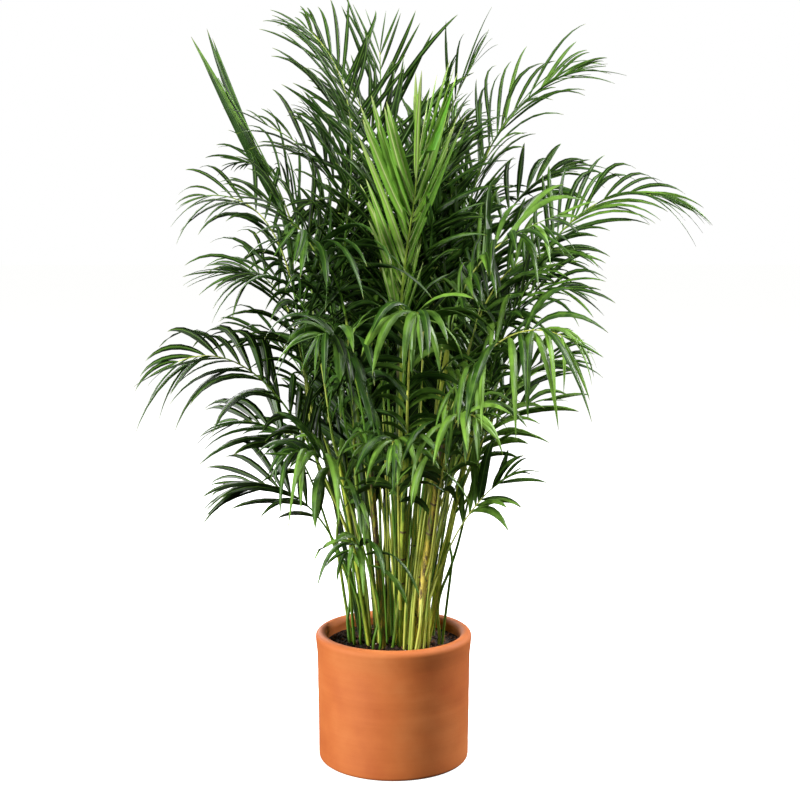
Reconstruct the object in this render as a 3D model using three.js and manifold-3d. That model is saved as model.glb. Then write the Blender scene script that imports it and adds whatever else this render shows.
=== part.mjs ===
// A potted palm: a clump of canes standing in a clay pot of soil, with the feathered fronds that they carry.
// Millimetres, +Z up. The origin is on the pot's axis, in its flat underside, and -Y is the front.

import * as THREE from 'three';
import { mergeVertices } from 'three/addons/utils/BufferGeometryUtils.js';
import Module from 'manifold-3d';

const wasm = await Module();
wasm.setup();

// Driving dimensions. Angles are in degrees.
const POT = {
	height: 232, baseRadius: 134.5, neckRadius: 137, rimRadius: 140, neckDrop: 24, wall: 15, floor: 16,
	rimRoll: 20, rollFrom: -30, rollTo: 210, rollSteps: 5, insideTaper: 3.75, chamfer: 6, sides: 40,
};
const SOIL = {
	level: 210, gap: 0.7, sides: 20, rings: 4, mound: 5,
	lump: 3.5, lumpWidth: 10, fineLump: 2.1, fineLumpWidth: 5.2,
};
const CANE = { depth: 40, gap: 0.4, sides: 8, steps: 4, taper: 0.85, leanPerMillimetre: 0.16, arch: 0.35 };
const SPINE = {
	steps: 7, baseRadius: 4.6, slenderest: 0.6, tipRadius: 0.9, thinning: 0.8, gap: 0.35, parting: 9,
	rise: 0.42, arrive: 0.34, roll: 42, rolledBy: 0.4, backFrom: 150,
};
const LEAFLET = {
	thickness: 2.2, width: 3, widthPerLength: 0.075, widest: 0.4, shortest: 0.3, longest: 262,
	firstSwell: 0.25, lastSwell: 0.95, firstSpread: 1.2, lastSpread: 0.5, lastPlace: 0.985, outOfStep: 0.2,
	lift: 24, liftScatter: 9, spreadScatter: 4, leastSpread: 6, lengthScatter: 0.06,
	slackSpread: 40, droopScatter: 0.05, shorterByDroop: 0.4, uprightDroop: 0.35, leastForward: 0.55,
};

// How much room a new midrib or leaflet keeps to the other pieces, and how close points are to be one.
const CLEARANCE = 0.35;
const SEAM = 0.01;

// Turns about the upright axis that a midrib tries, in order, to find its way up between the others.
const TURNS = [0, 3, -3, 6, -6, 9, -9, 12, -12, 16, -16, 20, -20];

// Bends that a leaflet tries in order to stay clear, as added lift, spread and droop, then shorter blades.
const BENDS = [
	[0, 0, 0], [8, 0, 0], [-8, 0, 0], [0, 6, 0], [0, -6, 0], [0, 0, 0.12], [14, -5, 0], [-14, 5, 0],
	[-14, -6, 0.1], [16, 8, 0.1], [24, 0, 0], [-24, 0, 0], [30, -12, 0], [-30, -12, 0.15], [38, 4, 0.2],
];
const SHORTER = [1, 0.8, 0.62];

const FINISHES = {
	clay: { color: 0xc66a35, roughness: 0.85 },
	soil: { color: 0x2b1d14, roughness: 1 },
	cane: { color: 0x8f9a3c, roughness: 0.6 },
	ripeCane: { color: 0xd9b548, roughness: 0.6 },
	leaf: { color: 0x2f5f22, roughness: 0.5 },
	youngLeaf: { color: 0x7fb53a, roughness: 0.5 },
};

// Where each cane leaves the soil, its radius there, how far its top stands above the soil, and whether it is
// an old yellow one.
const CANES = [
	{ x: 38, y: -46, radius: 7.8, height: 400, ripe: true },
	{ x: 10, y: -44, radius: 5.6, height: 360 },
	{ x: -18, y: -52, radius: 5.6, height: 330, ripe: true },
	{ x: -44, y: -32, radius: 5.2, height: 350 },
	{ x: -57, y: -2, radius: 5.2, height: 380 },
	{ x: -28, y: -8, radius: 5.6, height: 520 },
	{ x: 4, y: -12, radius: 5.8, height: 560 },
	{ x: 34, y: -12, radius: 5.6, height: 530 },
	{ x: 60, y: -16, radius: 5.2, height: 390 },
	{ x: 52, y: 24, radius: 5.2, height: 430 },
	{ x: 24, y: 22, radius: 5.6, height: 580 },
	{ x: -8, y: 26, radius: 5.6, height: 540 },
	{ x: -44, y: 32, radius: 5.2, height: 450 },
	{ x: 10, y: 62, radius: 5.2, height: 400 },
];

// What a frond has unless its own line says otherwise: it grows from the top of its cane, its longest leaflet
// has this length, this share of its midrib is bare, and its leaflets droop by this share of their length.
const USUAL = { from: 1, leaf: 225, bare: 0.42, droop: 0.3 };

// Each frond: its cane's place in the list above and how far up that cane it grows, where its midrib ends and
// how far from upright it points there, its longest leaflet, its pairs of leaflets, the bare share of its
// midrib, how far the leaflets stand from it and how much they droop. The pale one, just opened, is young.
const FRONDS = [
	{ cane: 11, tip: [-24, 80, 1256], end: 8, leaf: 262, pairs: 11, spread: 46 },
	{ cane: 5, from: 0.86, tip: [-148, 30, 1290], end: 56, leaf: 215, pairs: 11, spread: 36 },
	{ cane: 12, tip: [-306, 70, 1206], end: 32, leaf: 230, pairs: 7, spread: 9 },
	{ cane: 6, tip: [42, -122, 1080], end: 4, leaf: 262, pairs: 12, bare: 0.22, spread: 18, young: true },
	{ cane: 10, from: 0.9, tip: [318, 40, 1220], end: 74, pairs: 11, spread: 34 },
	{ cane: 9, tip: [310, 110, 1056], end: 78, leaf: 220, pairs: 11, bare: 0.4, spread: 40, droop: 0.42 },
	{ cane: 8, tip: [468, -10, 1000], end: 112, pairs: 12, bare: 0.38, spread: 34, droop: 0.42 },
	{ cane: 8, from: 0.66, tip: [290, -96, 850], end: 98, pairs: 11, spread: 44 },
	{ cane: 0, tip: [272, -230, 778], end: 116, pairs: 11, bare: 0.36, spread: 60, droop: 0.5 },
	{ cane: 8, from: 0.34, tip: [290, -20, 732], end: 74, leaf: 195, pairs: 9, bare: 0.5, spread: 38 },
	{ cane: 9, from: 0.36, tip: [248, 60, 640], end: 76, leaf: 190, pairs: 8, bare: 0.5, spread: 40 },
	{ cane: 0, from: 0.24, tip: [190, -70, 520], end: 50, leaf: 165, pairs: 4, bare: 0.6, spread: 40 },
	{ cane: 4, tip: [-322, -10, 1004], end: 100, leaf: 215, pairs: 11, bare: 0.4, spread: 50, droop: 0.42 },
	{ cane: 12, from: 0.8, tip: [-276, 170, 1070], end: 84, leaf: 220, pairs: 10, spread: 46 },
	{ cane: 3, tip: [-236, -136, 872], end: 100, leaf: 250, pairs: 10, spread: 50 },
	{ cane: 4, from: 0.74, tip: [-280, 70, 876], end: 92, pairs: 10, spread: 44 },
	{ cane: 3, from: 0.66, tip: [-366, -70, 724], end: 116, pairs: 11, bare: 0.4, spread: 42, droop: 0.42 },
	{ cane: 4, from: 0.4, tip: [-276, 30, 606], end: 98, leaf: 205, pairs: 9, bare: 0.46, spread: 44 },
	{ cane: 3, from: 0.34, tip: [-256, -60, 512], end: 98, leaf: 200, pairs: 9, bare: 0.46, spread: 44 },
	{ cane: 2, from: 0.19, tip: [-72, -206, 426], end: 110, leaf: 165, pairs: 5, bare: 0.5, spread: 56, droop: 0.5 },
	{ cane: 2, from: 0.4, tip: [-172, -206, 584], end: 106, leaf: 200, pairs: 9, spread: 50, droop: 0.5 },
	{ cane: 1, from: 0.3, tip: [0, -246, 606], end: 108, leaf: 195, pairs: 9, spread: 50, droop: 0.5 },
	{ cane: 2, tip: [-120, -246, 780], end: 108, pairs: 11, bare: 0.36, spread: 50, droop: 0.5 },
	{ cane: 0, from: 0.42, tip: [132, -246, 650], end: 106, leaf: 205, pairs: 9, spread: 50, droop: 0.5 },
	{ cane: 5, tip: [-130, -190, 930], end: 94, leaf: 235, pairs: 11, bare: 0.3, spread: 48, droop: 0.5 },
	{ cane: 7, tip: [240, -130, 948], end: 88, leaf: 235, pairs: 11, spread: 44, droop: 0.42 },
	{ cane: 5, from: 0.66, tip: [-232, -70, 1000], end: 74, pairs: 10, bare: 0.38, spread: 44 },
	{ cane: 10, tip: [136, 20, 1226], end: 38, leaf: 235, pairs: 10, bare: 0.38, spread: 40 },
	{ cane: 11, from: 0.92, tip: [-200, 50, 1120], end: 62, pairs: 10, bare: 0.38, spread: 42 },
	{ cane: 1, tip: [40, -256, 816], end: 104, pairs: 11, bare: 0.34, spread: 50, droop: 0.5 },
	{ cane: 11, from: 0.84, tip: [-20, 300, 1080], end: 80, leaf: 220, pairs: 10, spread: 46 },
	{ cane: 10, from: 0.7, tip: [190, 290, 1000], end: 90, leaf: 220, pairs: 9, spread: 46 },
	{ cane: 12, from: 0.58, tip: [-170, 310, 920], end: 96, leaf: 215, pairs: 9, spread: 46 },
	{ cane: 9, from: 0.76, tip: [290, 220, 846], end: 98, leaf: 215, pairs: 10, spread: 46 },
	{ cane: 12, from: 0.38, tip: [-280, 226, 740], end: 100, leaf: 210, pairs: 10, bare: 0.45, spread: 46 },
	{ cane: 13, tip: [60, 350, 800], end: 102, leaf: 215, pairs: 9, spread: 46 },
	{ cane: 13, from: 0.4, tip: [-100, 320, 640], end: 100, leaf: 200, pairs: 9, bare: 0.45, spread: 46 },
	{ cane: 13, from: 0.17, tip: [180, 280, 590], end: 98, leaf: 195, pairs: 9, bare: 0.48, spread: 46 },
	{ cane: 11, from: 0.3, tip: [-230, 200, 560], end: 98, leaf: 190, pairs: 8, bare: 0.5, spread: 46 },
	{ cane: 10, from: 0.5, tip: [90, 230, 1160], end: 56, pairs: 10, bare: 0.46, spread: 44 },
	{ cane: 6, from: 0.8, tip: [120, 130, 1140], end: 60, leaf: 235, pairs: 10, bare: 0.4, spread: 44 },
	{ cane: 7, from: 0.6, tip: [296, 10, 912], end: 94, leaf: 215, pairs: 10, spread: 44 },
	{ cane: 6, from: 0.62, tip: [-74, 20, 1190], end: 36, leaf: 235, pairs: 11, spread: 42 },
	{ cane: 11, from: 0.46, tip: [-150, 190, 1130], end: 62, pairs: 10, bare: 0.46, spread: 42 },
].map((frond) => ({ ...USUAL, ...frond }));

const INSIDE_RADIUS = POT.neckRadius - POT.wall;
const UP = new THREE.Vector3(0, 0, 1);
const LEVEL = 90;
const degrees = THREE.MathUtils.degToRad;
const lerp = THREE.MathUtils.lerp;

const RANDOM = { seed: 20261, factor: 1664525, step: 1013904223, range: 2 ** 32 };
let randomState = RANDOM.seed;

/** The next repeatable random number from -1 to 1, so that every run grows the same plant. */
function jitter() {
	randomState = (randomState * RANDOM.factor + RANDOM.step) % RANDOM.range;
	return 2 * randomState / RANDOM.range - 1;
}

/** The closed solid that a three.js geometry bounds. */
function solidOf(geometry) {
	const bare = geometry.clone();
	bare.deleteAttribute('normal');
	bare.deleteAttribute('uv');
	const merged = mergeVertices(bare, SEAM);
	const solid = new wasm.Manifold(new wasm.Mesh({
		numProp: 3,
		vertProperties: new Float32Array(merged.attributes.position.array),
		triVerts: new Uint32Array(merged.index.array),
	}));
	if (solid.volume() <= 0) throw new Error('a shape is not closed with its faces outward');
	return solid;
}

/** The three.js geometry of a solid. */
function geometryOf(solid) {
	const mesh = solid.getMesh();
	const geometry = new THREE.BufferGeometry();
	geometry.setAttribute('position', new THREE.BufferAttribute(mesh.vertProperties, 3));
	geometry.setIndex(new THREE.BufferAttribute(mesh.triVerts, 1));
	geometry.computeVertexNormals();
	return geometry;
}

/** A named mesh with its own material. */
function piece(name, geometry, finish) {
	const mesh = new THREE.Mesh(geometry, new THREE.MeshStandardMaterial({ ...finish, metalness: 0 }));
	mesh.name = name;
	return mesh;
}

/** Moves every vertex of a geometry to the place that the function gives for it. */
function reshape(geometry, placeOf) {
	const position = geometry.attributes.position;
	const vertex = new THREE.Vector3();
	for (let i = 0; i < position.count; i++) {
		const place = placeOf(vertex.fromBufferAttribute(position, i));
		position.setXYZ(i, place.x, place.y, place.z);
	}
	return geometry;
}

/** A rod along a curve. `frameAt` gives the two directions of its section at a place on the curve. */
function rod(curve, sides, steps, radiusAt, frameAt) {
	return reshape(new THREE.CylinderGeometry(1, 1, 1, sides, steps), (vertex) => {
		const t = vertex.y + 0.5;
		const { across, raised } = frameAt(t);
		return curve.getPoint(t)
			.addScaledVector(across, vertex.x * radiusAt(t))
			.addScaledVector(raised, vertex.z * radiusAt(t));
	});
}

/** A point on the middle line of a stepped rod, which cuts a little inside its curve. */
function middleOf(curve, steps, t) {
	const step = Math.min(Math.floor(t * steps), steps - 1);
	const [from, to] = [step, step + 1].map((i) => curve.getPoint(i / steps));
	return from.lerp(to, t * steps - step);
}

/** Turns a profile of [radius, height] points about the upright axis. */
function turned(profile, sides) {
	const points = profile.map(([radius, height]) => new THREE.Vector2(radius, height));
	return new THREE.LatheGeometry(points, sides).rotateX(Math.PI / 2);
}

/** An arc of [radius, height] points about a centre, from one angle to another in degrees. */
function arc(radius, height, size, from, to, steps) {
	return Array.from({ length: steps + 1 }, (_, i) => {
		const angle = degrees(lerp(from, to, i / steps));
		return [radius + size * Math.cos(angle), height + size * Math.sin(angle)];
	});
}

/** The pot: a nearly straight clay wall with a rolled rim, a closed floor and a chamfered foot. */
function potGeometry() {
	const roll = POT.rimRoll / 2;
	const rimCentre = POT.rimRadius - roll;
	const neck = POT.height - POT.neckDrop;
	return turned([
		[0, 0],
		[POT.baseRadius - POT.chamfer, 0],
		[POT.baseRadius, POT.chamfer],
		[POT.neckRadius, neck],
		...arc(rimCentre, POT.height - roll, roll, POT.rollFrom, POT.rollTo, POT.rollSteps),
		[INSIDE_RADIUS, neck],
		[INSIDE_RADIUS - POT.insideTaper, POT.floor],
		[0, POT.floor],
	], POT.sides);
}

/** How high the soil lies at a point: a low mound round the canes with lumps on it. */
function soilHeight(x, y) {
	const fromAxis = Math.hypot(x, y) / POT.baseRadius;
	const lumps = SOIL.lump * Math.sin(x / SOIL.lumpWidth) * Math.cos(y / SOIL.lumpWidth)
		+ SOIL.fineLump * Math.sin((x - y) / SOIL.fineLumpWidth);
	return SOIL.level + SOIL.mound * (1 - 2 * fromAxis ** 2) + lumps * (1 - fromAxis);
}

/** The soil: it fills the pot and keeps a small gap to the clay and to each cane's foot. */
function soilSolid(canes) {
	const top = INSIDE_RADIUS - SOIL.gap;
	const foot = top - POT.insideTaper;
	const surface = Array.from({ length: SOIL.rings }, (_, i) => [top * (1 - i / SOIL.rings), SOIL.level]);
	const bottom = POT.floor + SOIL.gap;
	const body = turned([[0, bottom], [foot, bottom], ...surface, [0, SOIL.level]], SOIL.sides);
	reshape(body, (vertex) => {
		if (vertex.z > POT.height / 2) vertex.z = soilHeight(vertex.x, vertex.y);
		return vertex;
	});
	const holes = canes.map((cane) => solidOf(caneGeometry(cane, CANE.gap)));
	return solidOf(body).subtract(wasm.Manifold.union(holes));
}

/** The curve that a cane follows: it leans away from the clump's middle and arches a little as it rises. */
function caneCurve({ x, y, height }) {
	const lean = degrees(CANE.leanPerMillimetre * Math.hypot(x, y));
	const out = new THREE.Vector3(x, y, 0).normalize();
	const foot = new THREE.Vector3(x, y, SOIL.level);
	const at = (length, arch) => foot.clone()
		.addScaledVector(out, length * Math.tan(lean * (1 + arch)))
		.addScaledVector(UP, length);
	return new THREE.QuadraticBezierCurve3(at(-CANE.depth, 0), at(height / 2, 0), at(height, CANE.arch / 2));
}

/** One cane, or with a margin the hole that it stands in. */
function caneGeometry(cane, margin = 0) {
	const curve = caneCurve(cane);
	if (margin) curve.v0.addScaledVector(curve.getTangent(0), -margin);
	const frameAt = (t) => {
		const along = curve.getTangent(t);
		const across = new THREE.Vector3(0, 1, 0).cross(along).normalize();
		return { across, raised: across.clone().cross(along) };
	};
	return rod(curve, CANE.sides, CANE.steps, (t) => caneRadius(cane, t) + margin, frameAt);
}

/** A cane's radius at a place on its curve. */
function caneRadius(cane, t) {
	return cane.radius * lerp(1, CANE.taper, t);
}

/** A frond's midrib: a stalk in an upright plane that leaves its cane at a narrow angle and arches over. */
class Midrib {

	constructor(frond, turn) {
		const cane = caneCurve(CANES[frond.cane]);
		const root = middleOf(cane, CANE.steps, frond.from);
		const along = cane.getTangent(frond.from);
		const tip = new THREE.Vector3(...frond.tip).sub(root).applyAxisAngle(UP, degrees(turn)).add(root);
		this.out = tip.clone().sub(root).setZ(0).normalize();
		this.side = this.out.clone().cross(UP);
		this.roll = degrees(SPINE.roll) * this.side.y * (frond.tip[1] > SPINE.backFrom ? 1 : -1);
		const size = frond.leaf / LEAFLET.longest;
		this.radius = SPINE.baseRadius * lerp(SPINE.slenderest, 1, size);
		let lean = Math.atan2(along.dot(this.out), along.z);
		if (frond.from < 1) {
			const caneSide = caneRadius(CANES[frond.cane], frond.from);
			root.addScaledVector(this.out, caneSide + this.radius + SPINE.gap);
			lean += degrees(SPINE.parting);
		} else {
			root.addScaledVector(along, SPINE.gap);
			root.addScaledVector(along, this.radius * Math.tan(Math.acos(along.dot(this.pointing(lean)))));
		}
		const reach = tip.distanceTo(root);
		this.curve = new THREE.CubicBezierCurve3(
			root,
			root.clone().addScaledVector(this.pointing(lean), reach * SPINE.rise),
			tip.clone().addScaledVector(this.pointing(degrees(frond.end)), -reach * SPINE.arrive),
			tip,
		);
	}

	/** The direction in the frond's plane at an angle from upright. */
	pointing(angle) {
		return UP.clone().multiplyScalar(Math.cos(angle)).addScaledVector(this.out, Math.sin(angle));
	}

	/** The directions across the frond and out of its upper face. The stalk twists up to the frond's roll. */
	frameAt(t) {
		const along = this.curve.getTangent(t);
		const across = this.side.clone().applyAxisAngle(along, this.roll * Math.min(1, t / SPINE.rolledBy));
		return { across, raised: across.clone().cross(along) };
	}

	radiusAt(t) {
		return lerp(this.radius, SPINE.tipRadius, t ** SPINE.thinning);
	}

	geometry(margin = 0) {
		return rod(this.curve, 3, SPINE.steps, (t) => this.radiusAt(t) + margin, (t) => this.frameAt(t));
	}

}

/** One leaflet: a point inside the midrib, widest before its middle, and a drooping point. */
function leafletGeometry(midrib, leaflet, margin = 0) {
	const { t, hand, spread, lift, length, width, droop } = leaflet;
	const along = midrib.curve.getTangent(t);
	const { across, raised } = midrib.frameAt(t);
	const turnedBy = (angle, from, towards) => from.clone().multiplyScalar(Math.cos(angle))
		.addScaledVector(towards, Math.sin(angle));
	const outward = turnedBy(lift, across.clone().multiplyScalar(hand), raised);
	const face = turnedBy(lift, raised, across.clone().multiplyScalar(-hand));
	const direction = turnedBy(spread, along, outward);
	const breadth = face.clone().cross(direction);
	const root = middleOf(midrib.curve, SPINE.steps, t);
	const middle = root.clone().addScaledVector(direction, length * LEAFLET.widest);
	const level = Math.hypot(direction.x, direction.y);
	const reach = (length + margin) * (1 - LEAFLET.shorterByDroop * droop);
	const sag = length * droop * lerp(LEAFLET.uprightDroop, 1, level);
	const forward = Math.max(reach - sag * direction.z, LEAFLET.leastForward * length);
	const end = root.clone()
		.addScaledVector(direction, forward + sag * direction.z)
		.addScaledVector(UP, -sag);
	// A ball of three sides whose poles become the blade's two ends.
	return reshape(new THREE.SphereGeometry(1, 3, 2), (vertex) => {
		if (vertex.y > 0.5) return root;
		if (vertex.y < -0.5) return end;
		return middle.clone()
			.addScaledVector(breadth, vertex.z * (width + 2 * margin) / Math.sqrt(3))
			.addScaledVector(face, -vertex.x * (LEAFLET.thickness + 2 * margin) * 2 / 3);
	});
}

/** What already stands in the plant's space, to tell whether a new solid is clear of it. */
class Space {

	placed = [];

	add(owner, solid) {
		this.placed.push({ owner, solid, box: solid.boundingBox() });
	}

	/** Whether a solid touches nothing but pieces of its own owner. */
	isClear(owner, solid) {
		const box = solid.boundingBox();
		return !this.placed.some((other) => other.owner !== owner
			&& [0, 1, 2].every((i) => box.min[i] < other.box.max[i] && box.max[i] > other.box.min[i])
			&& overlaps(solid, other.solid));
	}

}

function overlaps(one, other) {
	const common = one.intersect(other);
	const found = !common.isEmpty();
	common.delete();
	return found;
}

/** The first candidate whose slightly thicker copy is clear of the other pieces, or nothing. */
function firstClear(space, owner, candidates, geometryFor) {
	return candidates.find((candidate) => {
		const thicker = solidOf(geometryFor(candidate, CLEARANCE));
		const clear = space.isClear(owner, thicker);
		thicker.delete();
		return clear;
	});
}

/** The leaflets that a frond should carry, in pairs that are a little out of step. */
function leafletRow(frond) {
	const row = [];
	for (let i = 0; i < frond.pairs; i++) {
		for (const hand of [-1, 1]) {
			const place = (i + LEAFLET.outOfStep * (1 + hand)) / (frond.pairs - 1 + LEAFLET.outOfStep * 2);
			const swell = Math.sin(Math.PI * lerp(LEAFLET.firstSwell, LEAFLET.lastSwell, place));
			const length = frond.leaf * lerp(LEAFLET.shortest, 1, swell) * (1 + LEAFLET.lengthScatter * jitter());
			const opening = frond.spread * lerp(LEAFLET.firstSpread, LEAFLET.lastSpread, place);
			const heaviness = frond.droop * Math.min(1, frond.spread / LEAFLET.slackSpread)
				* lerp(LEAFLET.uprightDroop, 1, frond.end / LEVEL);
			row.push({
				hand, length,
				t: lerp(frond.bare, LEAFLET.lastPlace, place),
				spread: degrees(opening + LEAFLET.spreadScatter * jitter()),
				lift: degrees(LEAFLET.lift + LEAFLET.liftScatter * jitter()),
				width: length * LEAFLET.widthPerLength + LEAFLET.width,
				droop: heaviness + LEAFLET.droopScatter * jitter(),
			});
		}
	}
	return row;
}

/** The same leaflet bent by more and more, then shortened, to find a place for it. */
function bentWays(leaflet) {
	return SHORTER.flatMap((scale) => BENDS.map(([lift, spread, droop]) => ({
		...leaflet,
		lift: leaflet.lift + degrees(lift),
		spread: Math.max(leaflet.spread + degrees(spread), degrees(LEAFLET.leastSpread)),
		droop: leaflet.droop + droop,
		length: leaflet.length * scale,
	})));
}

/** Numbers a name with two digits. */
const numbered = (name, i) => `${name}_${String(i + 1).padStart(2, '0')}`;

const palm = new THREE.Group();
const space = new Space();

palm.add(piece('pot', potGeometry(), FINISHES.clay));
space.add('pot', solidOf(potGeometry()));

const soil = soilSolid(CANES);
palm.add(piece('soil', geometryOf(soil), FINISHES.soil));
space.add('soil', soil);

CANES.forEach((cane, i) => {
	const geometry = caneGeometry(cane);
	palm.add(piece(numbered('cane', i), geometry, cane.ripe ? FINISHES.ripeCane : FINISHES.cane));
	space.add(numbered('cane', i), solidOf(geometry));
});

// Every midrib first, so that leaflets bend clear of them all, then each frond's leaflets.
const midribs = FRONDS.map((frond, i) => {
	const turn = firstClear(space, numbered('frond', i), TURNS,
		(angle, margin) => new Midrib(frond, angle).geometry(margin));
	if (turn === undefined) throw new Error(`${numbered('frond', i)} has no clear way up`);
	const midrib = new Midrib(frond, turn);
	space.add(numbered('frond', i), solidOf(midrib.geometry()));
	return midrib;
});

FRONDS.forEach((frond, i) => {
	const name = numbered('frond', i);
	const solids = [solidOf(midribs[i].geometry())];
	for (const leaflet of leafletRow(frond)) {
		const place = firstClear(space, name, bentWays(leaflet),
			(way, margin) => leafletGeometry(midribs[i], way, margin));
		if (!place) continue;
		const blade = solidOf(leafletGeometry(midribs[i], place));
		space.add(name, blade);
		solids.push(blade);
	}
	const whole = wasm.Manifold.union(solids);
	palm.add(piece(name, geometryOf(whole), frond.young ? FINISHES.youngLeaf : FINISHES.leaf));
});

export default palm;
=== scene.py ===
"""A potted palm: the fine surfaces, finishes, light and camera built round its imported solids."""

from __future__ import annotations

import logging
import math
import random
from collections.abc import Callable, Iterable, Sequence
from dataclasses import dataclass, field
from enum import Enum
from functools import cached_property

import bmesh
import bpy
import numpy as np
from mathutils import Matrix, Quaternion, Vector

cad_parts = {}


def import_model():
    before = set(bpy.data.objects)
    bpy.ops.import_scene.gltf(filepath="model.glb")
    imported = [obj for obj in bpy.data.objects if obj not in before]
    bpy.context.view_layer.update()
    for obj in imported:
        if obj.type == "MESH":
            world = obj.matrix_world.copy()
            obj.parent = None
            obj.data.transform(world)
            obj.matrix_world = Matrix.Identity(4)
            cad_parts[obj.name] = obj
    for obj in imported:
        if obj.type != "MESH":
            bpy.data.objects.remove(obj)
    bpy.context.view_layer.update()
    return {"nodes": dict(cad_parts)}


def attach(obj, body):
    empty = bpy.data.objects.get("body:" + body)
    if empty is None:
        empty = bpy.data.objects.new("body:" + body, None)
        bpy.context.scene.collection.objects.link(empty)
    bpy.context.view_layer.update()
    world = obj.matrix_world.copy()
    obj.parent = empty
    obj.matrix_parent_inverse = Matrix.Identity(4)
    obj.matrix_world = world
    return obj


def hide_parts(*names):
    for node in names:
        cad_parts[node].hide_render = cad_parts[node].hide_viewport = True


Pair = tuple[float, float]
Triple = tuple[float, float, float]
Colour = tuple[float, float, float, float]
Surface = Callable[[float, float], tuple[Vector, float, float]]
Socket = bpy.types.NodeSocket
Material = bpy.types.Material
Piece = bpy.types.Object
Mesh = bmesh.types.BMesh
Vertex = bmesh.types.BMVert

BODY = "root"
SEED = 4107
MERGE = 1e-5
FULL_TURN = 2 * math.pi
UP = Vector((0.0, 0.0, 1.0))
BACK = Vector((0.0, 1.0, 0.0))

log = logging.getLogger("palm")


def paint(*levels: int) -> Colour:
    """The linear colour for red, green and blue as they look on a screen, each from 0 to 255."""
    shares = [level / 255 for level in levels]
    return *(share / 12.92 if share <= 0.04045 else ((share + 0.055) / 1.055) ** 2.4 for share in shares), 1.0


def blend(start: float, end: float, share: float) -> float:
    """The value that lies a share of the way from start to end."""
    return start + (end - start) * share


def clamp(value: float) -> float:
    """The value, kept between 0 and 1."""
    return min(max(value, 0.0), 1.0)


def rise(value: float, start: float, span: float) -> float:
    """How far a value has risen past a start, as a share of a span and between 0 and 1."""
    return clamp((value - start) / span)


def dice_for(*words: object) -> random.Random:
    """Repeatable random numbers for one use."""
    return random.Random(" ".join(str(word) for word in (SEED, *words)))


def pulls(share: float | np.ndarray, degree: int) -> list[float | np.ndarray]:
    """How much each of the points that steer a curve counts at a share of it."""
    steps = range(degree + 1)
    return [math.comb(degree, step) * (1 - share) ** (degree - step) * share ** step for step in steps]


def level_spot(turn: float, away: float, spread: Pair = (1.0, 1.0)) -> Vector:
    """A level point at an angle and a distance from the axis, stretched by the spread."""
    return Vector((away * math.cos(turn) * spread[0], away * math.sin(turn) * spread[1], 0.0))


def turned(vector: Vector, axis: Vector, angle: float) -> Vector:
    """A copy of a vector that is turned about an axis.

    Args:
        vector: The vector.
        axis: The axis.
        angle: The angle in radians.

    Returns:
        The turned copy.
    """
    made = vector.copy()
    made.rotate(Quaternion(axis, angle))
    return made


class Layer(Enum):
    """The attributes that the meshes carry for their finishes."""

    TONE = "tone"
    UNDER = "under"
    AGE = "age"
    PLACE = "place"


class Hand(Enum):
    """The two sides of a midrib."""

    LEFT = -1
    RIGHT = 1


class Stage(Enum):
    """How far a frond has opened."""

    CLOSED = "closed"
    YOUNG = "young"
    OPEN = "open"


# ---- Finishes


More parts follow.
